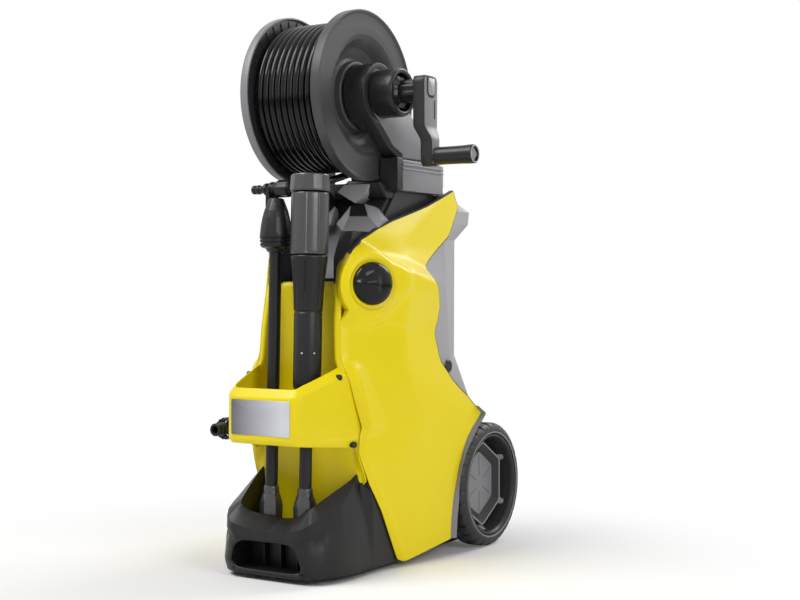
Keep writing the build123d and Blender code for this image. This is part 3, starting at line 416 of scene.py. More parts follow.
# %% Hose sizes
reel_y, reel_z = 77.0, 677.0
hose_d = 10.5
drum_r, lay_gap = 99.0, 0.3
lay_r = drum_r + lay_gap + hose_d / 2
first_turn_x, turns, points_per_turn = -69.25, 9, 24
leave_y = 103.0
leave_angle = math.atan2(-math.sqrt(lay_r ** 2 - (leave_y - reel_y) ** 2), leave_y - reel_y)
control_r = lay_r / ((1 + math.cos(math.pi / points_per_turn)) / 2)


def hose_curve(name, route, body):
    """A round hose along one smooth curve through its control points, in millimetres."""
    data = bpy.data.curves.new(name, "CURVE")
    data.dimensions = "3D"
    data.bevel_depth = hose_d / 2 * MM
    data.bevel_resolution = 6
    data.resolution_u = 4
    data.use_fill_caps = True
    spline = data.splines.new("NURBS")
    spline.points.add(len(route) - 1)
    for point, (x, y, z) in zip(spline.points, route):
        point.co = (x * MM, y * MM, z * MM, 1.0)
    spline.order_u = 3
    spline.use_endpoint_u = True
    hose = bpy.data.objects.new(name, data)
    scene.collection.objects.link(hose)
    data.materials.append(HOSE)
    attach(hose, body)
    return hose


# %% Wound hose
wound_route = []
for step in range(turns * points_per_turn + 1):
    turn = step / points_per_turn
    angle = leave_angle + 2 * math.pi * (turns - turn)
    wound_route.append((first_turn_x + hose_d * turn, reel_y + control_r * math.cos(angle),
                        reel_z + control_r * math.sin(angle)))
wound_hose = hose_curve("wound_hose", wound_route, "reel")
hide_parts("hose_winding")

# %% Free end to the plug
tail_route = [(25.25, 103.0, 575.7), (25.4, 84.0, 569.6), (26.0, 63.0, 563.2), (25.6, 43.0, 557.4),
              (18.8, 24.0, 551.2), (5.6, 10.4, 546.4), (-11.7, 3.2, 542.8), (-30.2, 2.0, 541.0)]
hose_tail = hose_curve("free_hose", tail_route, "machine")
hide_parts("hose_tail")

# %% [markdown]
# ## Hose plug
# At the free end of the hose sits the plug that goes into the spray gun: an eight-sided grip, a flange, a
# neck with a sealing ring, and a ball tip. It is turned about its own axis, with the grip's flats made by a
# wave in the radius.


# %% Plug
def plug_flats(along, angle, radius):
    """Eight flats on the grip only."""
    return -0.9 * (1 - np.cos(8 * angle)) * 0.5 * (along < 27) * (radius > 11)


plug_rows = [(0, 0), (0, 9), (1.5, 11.5), (5, 12.8), (22, 12.8), (25, 12), (27, 9.5), (31, 9.2), (32, 10.4),
             (37, 10.4), (38, 7), (42, 6.4), (43, 9), (47, 9), (48, 6), (56, 5.4), (57, 6.8), (62, 6.8),
             (63.5, 5.2), (65, 6.6), (69, 6.6), (71, 4.5), (71, 0)]
plug_skin = turned(rounded(plug_rows, 0.7, steps=3, closed=False), (-31.2, 2.0, 541.0), (-1.0, 0.0, 0.0),
                   loop=False, bumps=plug_flats)
plug_body = lay_piece("plug_body", plug_skin, SATIN, stands_for=["plug_grip", "plug_nipple"],
                      crisp=30)

# %% [markdown]
# ## Yellow side panels
# Each side of the machine is one large moulded shell. Seen from the side, its outline runs up along the
# foot, round the switch and over the shoulder, and back down in waves to the wheel arch. Its surface is
# shallow: a front facet meets a rear flank at a soft knee that wanders back towards the wheel.
# The shell is a height map: for a place (y, z) in the side view, one function gives how far out the surface
# lies. It adds up plain parts: the plan at each height, a rolled front edge, a scoop behind the band, and a
# swoosh behind the switch. The outline is cut by running the rows of the grid from its front edge to its
# rear edge, so no cell is ever trimmed.

# %% Plan of the panels by height
levels = [7, 141, 205, 255, 275, 297, 345, 405, 465, 553]
plan_front_x = [93, 93, 87.7, 84.5, 82, 70, 67, 63.5, 73, 70]
plan_front_y = [-19, -19, -21.7, -23.8, -24, -24.5, -23, -14.5, 4, 200]
plan_knee_x = [101, 107, 118, 115, 114, 112.5, 112, 114, 97, 84]
plan_knee_y = [60, 60, 118, 88, 80, 72, 68, 66, 74, 240]
plan_rear_x = [126, 132, 132, 121, 116, 110, 107.5, 104, 94, 78]
plan_rear_y = [190, 235, 272, 256, 249, 241, 249, 260, 272, 290]
seam_z = [7, 12, 86, 126, 158, 171, 191, 205.5, 223, 246, 277, 295, 345, 368, 405, 425, 443, 452, 465, 480,
          494, 520, 550]
seam_y = [83, 71, 33, 7, -7, -11.5, -8.8, -3.3, -8.8, -16, -22.3, -24.5, -22.5, -19, -13.5, -10, -3, 4, 20,
          54, 92.6, 184, 275]
back_z = [26.2, 54.7, 81.3, 98.8, 116.3, 133.8, 151.2, 171.8, 188.7, 207.1, 214.3, 225.2, 235, 247, 260.6,
          275.8, 288.9, 307.1, 323.4, 332.4, 350, 369.7, 391.3, 400, 409.2, 421.5, 430.3, 439.5, 450.8, 466.5,
          478.4, 490.2, 504, 526, 549]
back_y = [182, 184.1, 187.9, 192.2, 197.4, 203.8, 211, 224.3, 241.2, 265.7, 256.5, 244.2, 233.3, 216, 199,
          185.5, 173, 167.3, 161.1, 159, 167.5, 165.5, 152.5, 145.5, 141, 141.5, 143, 157.5, 180.7, 213.7,
          236.8, 248.9, 263, 284, 272]


def by_height(z, values):
    """A table over the levels: the mean of seven readings spread over 28 mm, so its corners are soft."""
    return np.mean([np.interp(z + shift, levels, values) for shift in np.linspace(-14, 14, 7)], 0)


def hill(value, low, high):
    """0 below low, 1 above high, and the smooth step 3t^2 - 2t^3 between."""
    t = np.clip((value - low) / (high - low), 0, 1)
    return t * t * (3 - 2 * t)


def plan_x(y, z):
    """Front facet, knee and rear flank as straight runs, averaged over 18 mm, and 70 mm near the top."""
    front_x, front_y, knee_x, knee_y, rear_x, rear_y = [by_height(z, table) for table in (
        plan_front_x, plan_front_y, plan_knee_x, plan_knee_y, plan_rear_x, plan_rear_y)]
    front_slope = (knee_x - front_x) / (knee_y - front_y)
    rear_slope = (rear_x - knee_x) / (rear_y - knee_y)
    runs = []
    soften = 9.0 + 26.0 * hill(z, 408, 452)
    for share in np.linspace(-1, 1, 7):
        place = y + share * soften
        runs.append(front_x + front_slope * (np.minimum(place, knee_y) - front_y)
                    + rear_slope * (np.clip(place, knee_y, rear_y) - knee_y)
                    - 0.1 * np.maximum(place - rear_y, 0))
    return np.mean(runs, 0)


# %% [markdown]
# The switch sits on a broad flat ring that stands out from the panel, square to the switch's own axis. To
# the left and below, the ring ends in a rounded step. To the right it flows into a swoosh: a long bulge
# whose upper side catches the light, whose lower side falls into shade, and whose lower edge goes on from
# the ring's edge and fades towards the back.

# %% The outer surface of a panel
knob_at = np.array([95.0, 12.7, 404.0])
knob_axis = np.array([math.sin(math.radians(60)), -math.cos(math.radians(60)), 0.0])
ring_height = 9.5                 # how far out along the switch's axis the ring's crest stands
ring_y = knob_at[1] + knob_axis[1] * ring_height
ring_z = 402.5
ring_reach = 44.0
brow_z = [437.8, 443, 448.1, 452, 455.3, 459, 463.1]            # the brow: the edge's way on above the ring
brow_y = [-18.4, -15, -11, -6.4, -1.4, 7.5, 17.8]


def seam_at(z, with_ring):
    """The panel's front edge: the table, or the ring's circle and brow where these stand further forward."""
    seam = np.interp(z, seam_z, seam_y)
    drop = (z - ring_z) * np.where(z < ring_z, 0.86, 0.9)
    circle = ring_y - knob_axis[0] * np.sqrt(np.maximum(ring_reach ** 2 - drop ** 2, 0))
    circle = np.where(z > brow_z[0], np.interp(z, brow_z, brow_y), circle)
    at_ring = (drop > 1.5 - ring_reach) & (z < brow_z[-1]) & with_ring
    return np.where(at_ring, np.minimum(seam, circle), seam)


def panel_x(y, z, with_ring=True):
    """How far out the panel lies: plan + rolled edge + scoop + swoosh, and the ring laid over the sum."""
    behind_seam = y - seam_at(z, False)
    surface = plan_x(y, z) + 3.0 * (1 - (1 - np.clip(behind_seam / 12, 0, 1)) ** 2) * hill(463 - z, 0, 40)
    scoop = hill(behind_seam, 1, 9) * np.clip(1 - (behind_seam - 9) / (24 + 12 * hill(280 - z, 0, 60)), 0, 1)
    surface += 7.5 * scoop * hill(z, 188, 208) * hill(302 - z, 0, 16)
    crest_z = 424 - 0.24 * np.clip(y - 50, 0, 160)
    foot_z = 352 - 0.12 * np.clip(y - 12, 0, 90)
    below = np.clip((z - foot_z) / (crest_z - foot_z), 0, 1)
    above = 1 - hill(z, crest_z, crest_z + 30)
    step = 5.0 * hill(z, foot_z - 3, foot_z + 3) * (1 - hill(z, foot_z + 12, crest_z))
    step = step * (1 - hill(y, 30, 150))
    swoosh = (15.0 * below ** 1.4 * above + step) * hill(y, 8, 55)
    if not with_ring:
        return surface + 0.8 * swoosh
    surface += swoosh
    across = (y - ring_y) / knob_axis[0]
    away = np.hypot(across, z - ring_z)
    ring_face = knob_at[0] + (ring_height + 0.5 * (y - knob_at[1])) / knob_axis[0]
    tall = (ring_z - z) / (away + 1e-6)
    rim = away / (1 + np.where(tall > 0, 0.17, 0.11) * tall ** 2)
    bowl = 3.2 * (1 - hill(away, 32, 37))
    flow = hill(across, 8, 40) * hill(z, 366, 404) * (1 - hill(z, 418, 446))
    shoulder = ring_face - bowl - 7.5 * np.clip((rim - 35) / 9.5, 0, 1) ** 2 * (1 - flow)
    cover = 1 - hill(rim, 43.0, 58.0 + 25.0 * flow)
    valley = 3.0 * np.exp(-((rim - 49) / 5.0) ** 2) * hill(z, 425, 445)
    return surface + (shoulder - surface) * cover - valley


def panel_grid(rows, columns, with_ring=True):
    """Rows from the seam to the rear edge; the lowest ones tilt, because the rear corner stands higher."""
    share = np.linspace(0, 1, columns)[None, :]
    z_front = np.linspace(7.2, 549.0, rows)[:, None]
    z_back = z_front + 19.0 * np.clip(1 - (z_front - 7) / 90, 0, 1) ** 2
    z = z_front + (z_back - z_front) * share
    y = seam_at(z_front, with_ring) * (1 - share) + np.interp(z_back, back_z, back_y) * share
    return np.stack([panel_x(y, z, with_ring), y, z], -1), grid_faces(rows, columns)


# %% Right panel, with its ring
lay_piece("panel_right", panel_grid(240, 120), YELLOW, stands_for=["side_panel_right"],
          crisp=40, wall=3.0, bevel=0.7)

# %% [markdown]
# Where the ring stands in front of the panel's front edge, a skirt closes it towards the cover: a ribbon
# from the ring's edge inwards and back.

# %% Ring skirt
skirt_z = np.linspace(342, 462, 76)
skirt_edge, skirt_seam = seam_at(skirt_z, True), seam_at(skirt_z, False)
skirt_x = panel_x(skirt_edge, skirt_z, True)
skirt_in = np.minimum(52.0, skirt_x - 2.6)
skirt_back = np.maximum(skirt_seam + 3.0, skirt_edge + 0.62 * (skirt_x - skirt_in))
skirt = ribbon([(skirt_x - 0.4, skirt_edge + 0.5, skirt_z), (skirt_in, skirt_back, skirt_z),
                (skirt_in - 0.6, skirt_back + 1.6, skirt_z), (skirt_x - 2.4, skirt_edge + 2.2, skirt_z)])
lay_piece("ring_skirt", skirt, YELLOW, crisp=50)

# %% Left panel
lay_piece("panel_left", mirrored(panel_grid(110, 60, with_ring=False)), YELLOW,
          stands_for=["side_panel_left"], crisp=40, wall=3.0, bevel=0.7)

# %% [markdown]
# A black rubber seal shows as a thin line along the panels' top and rear edges, where they meet the grey
# shell. It is a ribbon: the edge's own points, each with a small four-cornered section around it.


# %% Seals along the panels' edges
def panel_seal(with_ring):
    """A ribbon along the panel's top and rear edge: 2 mm of it shows, 0.6 mm inside the panel's face."""
    z_top = np.linspace(446, 549, 60)
    z_rear = np.linspace(549, 30, 200)
    y = np.concatenate([seam_at(z_top, with_ring), np.interp(z_rear, back_z, back_y)])
    z = np.concatenate([z_top, z_rear])
    way = np.gradient(np.stack([y, z], 1), axis=0)
    way /= np.linalg.norm(way, axis=1, keepdims=True) + 1e-9
    out_y, out_z = -way[:, 1], way[:, 0]
    x = panel_x(y, z, with_ring)
    return ribbon([(x - deep, y + out_y * wide, z + out_z * wide)
                   for deep, wide in ((0.6, -1.0), (0.6, 2.0), (6.0, 2.0), (6.0, -1.0))])


lay_piece("panel_seal_right", panel_seal(True), DEEP_BLACK_AND_SHADE, crisp=50)
lay_piece("panel_seal_left", mirrored(panel_seal(False)), DEEP_BLACK_AND_SHADE, crisp=50)

# %% [markdown]
# Round the front of each wheel the grey shell shows as a narrow lip that flares out from the panel's rear
# edge. It is a ribbon too: its inner line is the panel's edge, its outer line stands 6 mm further out and a
# little further back, but never nearer to the axle than the tyre's radius and a small gap.

# %% Arch lips
axle_y, axle_z, tyre_r, tyre_gap = 291.0, 95.0, 95.0, 1.2
lip_deep = 7.0
lip_z = np.linspace(27, 219, 100)
lip_edge = np.interp(lip_z, back_z, back_y)
from_axle = lip_z - axle_z
tyre_front = axle_y - np.sqrt(np.maximum((tyre_r + tyre_gap) ** 2 - from_axle ** 2, 0))
lip_back = np.where(np.abs(from_axle) < tyre_r + 1, np.minimum(lip_edge + lip_deep, tyre_front),
                    lip_edge + lip_deep * (1 - hill(lip_z, 200, 219)))
lip_face = panel_x(lip_edge, lip_z, False)
arch_lip = ribbon([(lip_face + out, y, lip_z) for out, y in (
    (-2.5, lip_edge - 0.5), (-0.2, lip_edge + 0.2), (6.4, lip_back - 0.4), (6.4, lip_back),
    (-2.5, lip_back))])
lay_piece("arch_lip_right", arch_lip, GREY, stands_for=["arch_liners"], crisp=40)
lay_piece("arch_lip_left", mirrored(arch_lip), GREY, crisp=40)

# %% [markdown]
# ## Front cover with the lance channel
# Between the two panels the front is one cover. It bulges out to a lip on each side, drops steeply inside
# the lips and runs flat across the middle: the two lances stand in that channel. Seen from above its
# outline is a "U" that gets narrower towards the top, so the surface is a stack of such outlines: for each
# height the corners come from a few short tables, and every corner is rounded.

# %% The cover's outline by height
cover_z = [62.0, 100.0, 121.0, 131.0, 150.0, 176.0, 250.0, 272.0, 297.0, 345.0, 405.0]
lip_x = [75.0, 78.0, 84.0, 93.0, 92.0, 89.0, 82.0, 79.0, 68.0, 65.0, 61.5]
lip_y = [17.0, 15.0, 12.5, 6.5, 1.0, -6.0, -22.0, -22.5, -23.5, -21.5, -13.0]
channel_z = [141.0, 405.0]
channel_x, channel_y = [79.0, 48.0], [3.0, -2.0]
edge_z = [62, 100, 126, 141, 158, 171, 205, 246, 295, 345, 405]
edge_y = [30, 24, 6.5, 1, -7, -10, -3, -15, -22, -20, -11]


def cover_rows(z):
    """Outlines seam, lip, channel floor, lip, seam: one per height, all with the same count of corners."""
    seam, lip, nose, floor_x, floor_y = [np.interp(z, heights, table) for heights, table in (
        (edge_z, edge_y), (cover_z, lip_x), (cover_z, lip_y), (channel_z, channel_x), (channel_z, channel_y))]
    floor_y = floor_y + 3.0 * (z < 150) * (150 - z) / 60            # below the channel its floor leans back
    half = [(lip + 1.0, seam + 1.5), (lip - 1.5, np.minimum(nose, seam + 2)),
            (lip - 6.0, np.minimum(nose - 1.0, seam + 4.5)),
            (np.minimum(floor_x + 2.0, lip - 8), floor_y - 2),
            (floor_x - 12, floor_y + 0.8), (floor_x * 0.4, floor_y + 1.6)]
    return np.stack([np.column_stack([x, y, z]) for x, y in half + [(-x, y) for x, y in half[::-1]]], 1)


# %% Cover
plain_rows = 80                                      # above these the cover's top edge rolls backwards
cover_heights = np.concatenate([np.linspace(63.0, 395.0, plain_rows), [399.0, 402.0, 404.0, 405.0]])
rolled_back = np.concatenate([np.zeros(plain_rows), [0.4, 1.2, 2.6, 4.5]])
cover_outline = cover_rows(cover_heights)
cover_outline[:, :, 1] += rolled_back[:, None]
cover_skin = np.stack([rounded(row, [0.5, 3, 4, 7, 9, 12, 12, 9, 7, 4, 3, 0.5], steps=7, closed=False)
                       for row in cover_outline])
lay_piece("front_cover_skin", (cover_skin, grid_faces(*cover_skin.shape[:2])), YELLOW,
          stands_for=["front_cover"], crisp=50, wall=2.5)

# %% [markdown]
# ## Band across the lances
# The band is a broad yellow bridge: it leaves each panel's front edge, turns a soft corner and runs across
# in front of the lances. Its upper rim slopes inwards like a chamfer, its lower rim tucks under. So its
# section is a closed loop (face, sloping rim, inner face, lower rim) carried along a rounded path seen
# from above, and the height of the rims changes along that path.

# %% Path of the band
band_half, band_front, band_back = 60.0, -112.2, -20.0
band_depth = band_back - band_front
band_plan = [(-82, band_back), (-band_half, band_front), (band_half, band_front), (82, band_back)]
band_path = rounded(band_plan, [0, 17, 17, 0], steps=14, closed=False)
side_share = np.linspace(0, 1, 26)[1:-1, None]
face_share = np.linspace(0, 1, 22)[1:-1, None]
band_path = np.concatenate([
    band_path[:1] + side_share * (band_path[1] - band_path[0]) * 0.999, band_path[1:15],
    band_path[14] + face_share * (band_path[15] - band_path[14]), band_path[15:-1],
    band_path[-2] + side_share * (band_path[-1] - band_path[-2])])
band_way = np.gradient(band_path, axis=0)
band_way /= np.linalg.norm(band_way, axis=1, keepdims=True)
band_out = np.stack([band_way[:, 1], -band_way[:, 0]], 1)
band_x, band_y = band_path.T

# %% Section of the band, carried along the path
toward_ends = np.clip((band_y - band_front) / band_depth, 0, 1)
bow = 1.6 * (1 - (band_x / band_half) ** 2) * (np.abs(band_x) < band_half)
bulge = hill(toward_ends, 0.6, 1.0)
band_top = 265 + 29.5 * toward_ends
band_crease = 250.5 + 30 * toward_ends
band_low = 186 - 9 * toward_ends - 9 * np.where(band_x < 0, hill(toward_ends, 0.55, 1.0), 0)
tuck = 5 + 8 * toward_ends
under = 3.0 + 8.0 * toward_ends
section = [(-10.5, band_top - 4.5), (-9.0, band_top - 3.0), (-1.5, band_crease + 1.5), (-0.3, band_crease),
           (0.0, band_crease - 2.0), (0.0, band_low + tuck + 3), (-0.6, band_low + tuck),
           (-under, band_low + 1.5), (-under - 1.2, band_low), (-11.5 - 0.3 * under, band_low + 1.5)]


def band_end(level):
    """Where the band meets a panel at this height: just behind the panel's front edge, a little inside it."""
    seam = seam_at(level, False)
    return panel_x(seam + 3.0, level, False) - 1.6, seam


band_lines = []
for offset, level in section:
    x, y = (band_path + band_out * (offset + bow + bulge)[:, None]).T
    end_x, end_y = band_end(level)
    x = x + np.sign(band_x) * toward_ends * (end_x - 82.0)
    y = y + toward_ends ** 2 * (end_y - band_back) * (1 - 0.35 * (offset < -5))
    band_lines.append((x, y, level))
lay_piece("band_skin", ribbon(band_lines), YELLOW, stands_for=["front_band"], crisp=32,
          bevel=0.9)

# %% [markdown]
# Four dark screws hold the band: a short pin near each corner of its ends, square to the band's side.

# %% Band screws
screw_parts = []
for level, along in ((275.5, 17.0), (182.5, 9.5)):
    end = np.array([*band_end(level), level])
    side_way = np.array([band_half, band_front, level]) - end
    side_way /= np.linalg.norm(side_way)
    side_out = np.array([-side_way[1], side_way[0], 0.0])
    place = end + side_way * along + side_out
    screw_parts.append(bar(place - side_out * 7.0, place + side_out * 0.8, 4.2, around=24, edge=0.7))
lay_piece("band_screws", both_sides(joined(screw_parts)), DEEP_BLACK_AND_SHADE, stands_for=["cover_screws"])

# %% [markdown]
# The badge on the band is a thin silver plate with its corners rounded. It stays bare. Its silver is painted
# lighter from left to right: a painted sheen for the light it reflects.

# %% Badge plate
badge_outline = rounded([(-49, 198.5), (49, 198.5), (49, 246.5), (-49, 246.5)], 2.0)
lay_piece("badge_face", plate(badge_outline, -114.4, -110.0, "y", 0.5), SILVER_PAINTED_SHEEN,
          stands_for=["badge_plate"], crisp=40)

# %% [markdown]
# ## Bumper with the lance tray
# The bumper is one grid. Along its columns it runs round the front, from the right wing's tip to the left
# one; along its rows it climbs the outer wall to a ridge, crosses the sloping top to the tray's lip and
# drops down the tray's wall. The ridge's height follows from how far back a column is, which draws the two
# wings. The grip opening is left out of the grid: the cells inside it are dropped, and the lines round it
# are pulled into a rounded shape by the superellipse rule (|u|^5 + |v|^5)^(-1/5).

# %% Bumper outlines
half_plan = np.array([(101, 92), (97.5, 12), (97, -42), (92, -72), (76, -95), (57, -104.4), (0, -105)])
plan_corners = [0, 20, 30, 22, 22, 14, 20, 14, 22, 22, 30, 20, 0]
outer_plan = np.concatenate([half_plan, half_plan[-2::-1] * (-1, 1)])
outer_plan = rounded(outer_plan, plan_corners, steps=9, closed=False)
plan_run = np.concatenate([[0], np.cumsum(np.linalg.norm(np.diff(outer_plan, axis=0), axis=1))])
middle_run, opening_half = plan_run[-1] / 2, 56
opening_from, opening_to = middle_run - opening_half, middle_run + opening_half
columns_run = np.concatenate([
    np.linspace(0, opening_from, 90)[:-1], np.linspace(opening_from, opening_to, 57),
    np.linspace(opening_to, plan_run[-1], 90)[1:]])
x_out, y_out = [np.interp(columns_run, plan_run, line) for line in outer_plan.T]
from_middle = np.abs(columns_run - middle_run)
ridge_run = [0, 40, 60, 72, 88, 106, 125, 150, 170, 184, 186, 194, 275]
ridge_x, ridge_y, ridge_z = [np.interp(from_middle, ridge_run, table) for table in (
    [0, 39.5, 59.5, 70.5, 79.5, 84.5, 88, 87, 84.5, 81.5, 82.5, 96.8, 101],
    [-101, -101, -101.5, -96.5, -82, -66, -49, -28, -9, 0, 2.5, 12, 92],
    [67.5, 70, 75.5, 82.5, 90, 96.5, 103, 117.5, 132, 140.5, 140, 120.5, 7.6])]
tray_run = [0, 30, 50, 62, 74, 86, 106, 137, 163, 184, 186, 194, 275]
tray_x, tray_y, tray_z = [np.interp(from_middle, tray_run, table) for table in (
    [0, 25, 42, 51, 57.5, 61.5, 66.5, 73.5, 79, 81, 81.5, 92.5, 94],
    [-67, -70, -76.5, -81, -82, -76, -60, -37, -17, -0.5, 2, 13, 92],
    [81, 84, 88.5, 92.5, 98, 103, 111, 122, 131.5, 140, 139.5, 120, 7.6])]
tray_x, ridge_x = tray_x * np.sign(x_out), ridge_x * np.sign(x_out)

# %% Outer wall of the bumper
foot_z, opening_mid_z, opening_top_z = 7.2, 34.0, 54.0
wall_share = np.array([[0.0, 0.04, 0.09, 0.14, 0.22, 0.3, 0.4, 0.5, 0.6, 0.7, 0.78, 0.84, 0.9, 0.95, 1.0]]).T
side_z = foot_z + wall_share * (ridge_z - foot_z)
front_z = np.array([[7.2, 8.5, 10.5, 14.0, 19.7, 25.4, 31.1, 36.9, 42.6, 48.3, 54.0, 58, 62, 65, 67.5]]).T
stretch = (ridge_z - opening_top_z) / (front_z[-1] - opening_top_z)
front_z = np.where(front_z > opening_top_z, opening_top_z + (front_z - opening_top_z) * stretch, front_z)
in_front = 1 - hill(np.abs(x_out), 60, 80)
rows_z = side_z * (1 - in_front) + front_z * in_front
lean = np.interp(rows_z, [7, 25, 45, 60, 70, 90], [5.0, 0.8, 0.0, 1.8, 4.2, 6.0])
lean = lean * (1 - hill(y_out, -90, -20))
wall_x, wall_y = x_out * (1 - lean / 110.0), y_out + lean

# %% Rounded opening, and the climb to the ridge
u, v = wall_x / opening_half, (rows_z - opening_mid_z) / (opening_top_z - opening_mid_z)
square = np.maximum(np.abs(u), np.abs(v)) + 1e-6
pull = (np.abs(u / square) ** 5 + np.abs(v / square) ** 5) ** (-1 / 5) - 1
front_only = y_out < -80
near_opening = np.clip(1 - np.abs(square - 1) / 0.3, 0, 1) * front_only
splay = 0.28 * np.clip((1.7 - square) / 0.7, 0, 1) * front_only
splay = splay * np.clip((opening_mid_z - rows_z) / 40.0, -0.6, 0.35)
wall_x = wall_x * (1 + near_opening * pull) * (1 + splay)
wall_z = opening_mid_z + (rows_z - opening_mid_z) * (1 + near_opening * pull)
climb = wall_share ** 1.7
wall_x = wall_x + (ridge_x - wall_x[-1]) * climb
wall_y = wall_y + (ridge_y - wall_y[-1]) * climb
outer_skin = np.stack([wall_x, wall_y, wall_z], -1)

# %% Sloping top and the tray's wall
ridge_line = outer_skin[-1]
tray_line = np.column_stack([tray_x, tray_y, tray_z])
top_rows = [ridge_line + share * (tray_line - ridge_line) for share in (0.06, 0.15, 0.4, 0.7, 0.92, 1.0)]
inwards = 1.6 * np.column_stack([-np.clip(tray_x / 60, -1, 1), np.ones(len(tray_x)), np.zeros(len(tray_x))])
tray_floor_z = 63
tray_rows = []
for share, sink in ((0.5, -0.6), (1.0, -2.2), (1.3, (tray_floor_z - tray_z) * 0.5),
                    (1.6, tray_floor_z - tray_z)):
    row = tray_line + inwards * share
    row[:, 2] = np.maximum(row[:, 2] + sink, np.minimum(tray_z, foot_z))
    tray_rows.append(row)
bumper_skin = np.concatenate([outer_skin, top_rows, tray_rows])
bumper_faces = np.array(grid_faces(*bumper_skin.shape[:2]))
row_of, column_of = np.divmod(bumper_faces[:, 0], bumper_skin.shape[1])
in_opening = (row_of >= 3) & (row_of < 10) & (column_of >= 89) & (column_of < 145)
lay_piece("bumper_skin", (bumper_skin, bumper_faces[~in_opening].tolist()), BLACK,
          stands_for=["front_bumper"], crisp=38, wall=3.0)

# %% [markdown]
# Behind the opening is a pocket for the fingers: five thin walls and three ribs. The tray's floor is a thin
# plate that the lances' feet stand on.

# %% Grip pocket and tray floor
pocket = [box(low, high, 0.5) for low, high in (
    ((-60, -57, 11), (60, -54.5, 57)), ((-60, -101, 11), (60, -54.5, 13.2)),
    ((-60, -101, 54.8), (60, -54.5, 57)), ((-60, -98, 11), (-57.6, -54.5, 57)),
    ((57.6, -98, 11), (60, -54.5, 57)))]
pocket += [box((x - 1, -68, 13), (x + 1, -55, 55), 0.4) for x in (-28, 0, 28)]
lay_piece("grip_pocket", joined(pocket), DEEP_BLACK_AND_SHADE)
floor_outline = rounded([(-76, 6), (-74, -30), (-60, -66), (60, -66), (74, -30), (76, 6)], 8.0)
lay_piece("tray_floor", plate(floor_outline, 64.0, 67.0, "z", 0.5), DEEP_BLACK_AND_SHADE)

# %% [markdown]
# ## Hose reel
# The two flanges are one shape, mirrored, only that the left one is 6 mm shallower: a dished plate with a
# thick double rim. It is turned from one closed profile of (distance along the axis, radius) points, whose
# corners are rounded first. The rim's two ridges and the ring round the hub catch the light as thin lines.

# %% Reel flanges
reel_axis_at = np.array([0.0, reel_y, reel_z])
reel_x = (1.0, 0.0, 0.0)
flange_corners = rounded([
    (22, 15), (22, 43), (23.5, 44), (33, 44.2), (34, 45), (34, 49), (33, 50), (24, 50.4), (22.2, 56),
    (25, 63), (30, 70), (38, 76.5), (45, 82), (46.6, 88), (47, 100), (47, 117.5), (48, 119), (49, 120.4),
    (49, 123.4),
    (48, 123.3), (35, 123.3), (34, 122.7), (34, 99), (37, 99), (37, 120.5), (45, 120.5), (45, 88), (43, 84),
    (27, 70), (19, 57), (19, 15)], 0.7, steps=3)
left_corners = flange_corners.copy()
left_corners[:, 0] = -44.0 - flange_corners[:, 0] + 6.0 * hill(flange_corners[:, 0], 36, 47)
# Painted light: a grey band over the left flange's rim for the light it catches; the rim itself is the
# flanges' dark plastic.
left_rim_painted_light = rounded([(-87.2, 124.0), (-87.2, 121.0), (-75.0, 121.0), (-75.0, 124.0)], 0.8, steps=3)
# Painted light: the right flange is a lighter copy of the dark plastic, for the light it catches; the left
# flange keeps the plain dark plastic.
for name, section, finish, slot, replaced in (
        ("flange_right", flange_corners, LIT_CHARCOAL, "dark_plastic", ["reel_flange_right"]),
        ("flange_left", left_corners, CHARCOAL, "dark_plastic", ["reel_flange_left"]),
        ("flange_rim_band", left_rim_painted_light, GREY, "light_grey", [])):
    flange = turned(section, reel_axis_at, reel_x, around=120)
    lay_piece(name, flange, finish, "reel", replaced, crisp=28)
ribs, rib_count, rib_x = [], 36, -77.4
for angle in np.arange(rib_count) * 2 * np.pi / rib_count:
    way = np.array([0.0, math.cos(angle), math.sin(angle)])
    rib_foot = reel_axis_at + (rib_x, 0, 0)
    ribs.append(bar(rib_foot + 86 * way, rib_foot + 118 * way, 0.9, around=6))
lay_piece("flange_ribs", joined(ribs), CHARCOAL, "reel", crisp=40)

# %% [markdown]
# The right arm of the yoke is a dark plate with a light cheek on its outside, a round housing behind the
# crank and a box at its foot. Each is an outline with rounded corners, given a thickness and soft rims; the
# housing is turned. The cheek is a little smaller than the arm, so a dark border stays round it. Behind the
# reel a low bridge stands on the deck and ties the two arms together.

# %% Right yoke arm and the bridge
arm_outline = rounded([(118, 541), (129, 560), (129, 580), (120, 592), (96, 604), (76, 622), (52, 640),
                       (33, 665), (31.5, 690), (48, 714), (77, 722), (104, 714), (122, 694), (170, 650),
                       (222, 602), (236, 586), (239, 541)], 7.0)
arm_root = rounded([(78, 622), (54, 640), (37, 664), (35, 690), (50, 711), (77, 721), (104, 711), (117, 690),
                    (119, 660), (108, 632)], 8.0)
housing = rounded([(36, 16), (36, 44.6), (71.5, 45), (71.5, 36), (66, 36), (66, 16)], 1.4, steps=4)
cheek = rounded([(134, 590), (136, 596), (110, 606), (88, 626), (66, 643), (52, 656), (120, 690), (168, 648),
                 (220, 600), (228, 592)], 4.0, steps=4)
box_outline = rounded([(121, 541.6), (121, 587), (236, 587), (243, 541.6)], 3.0)
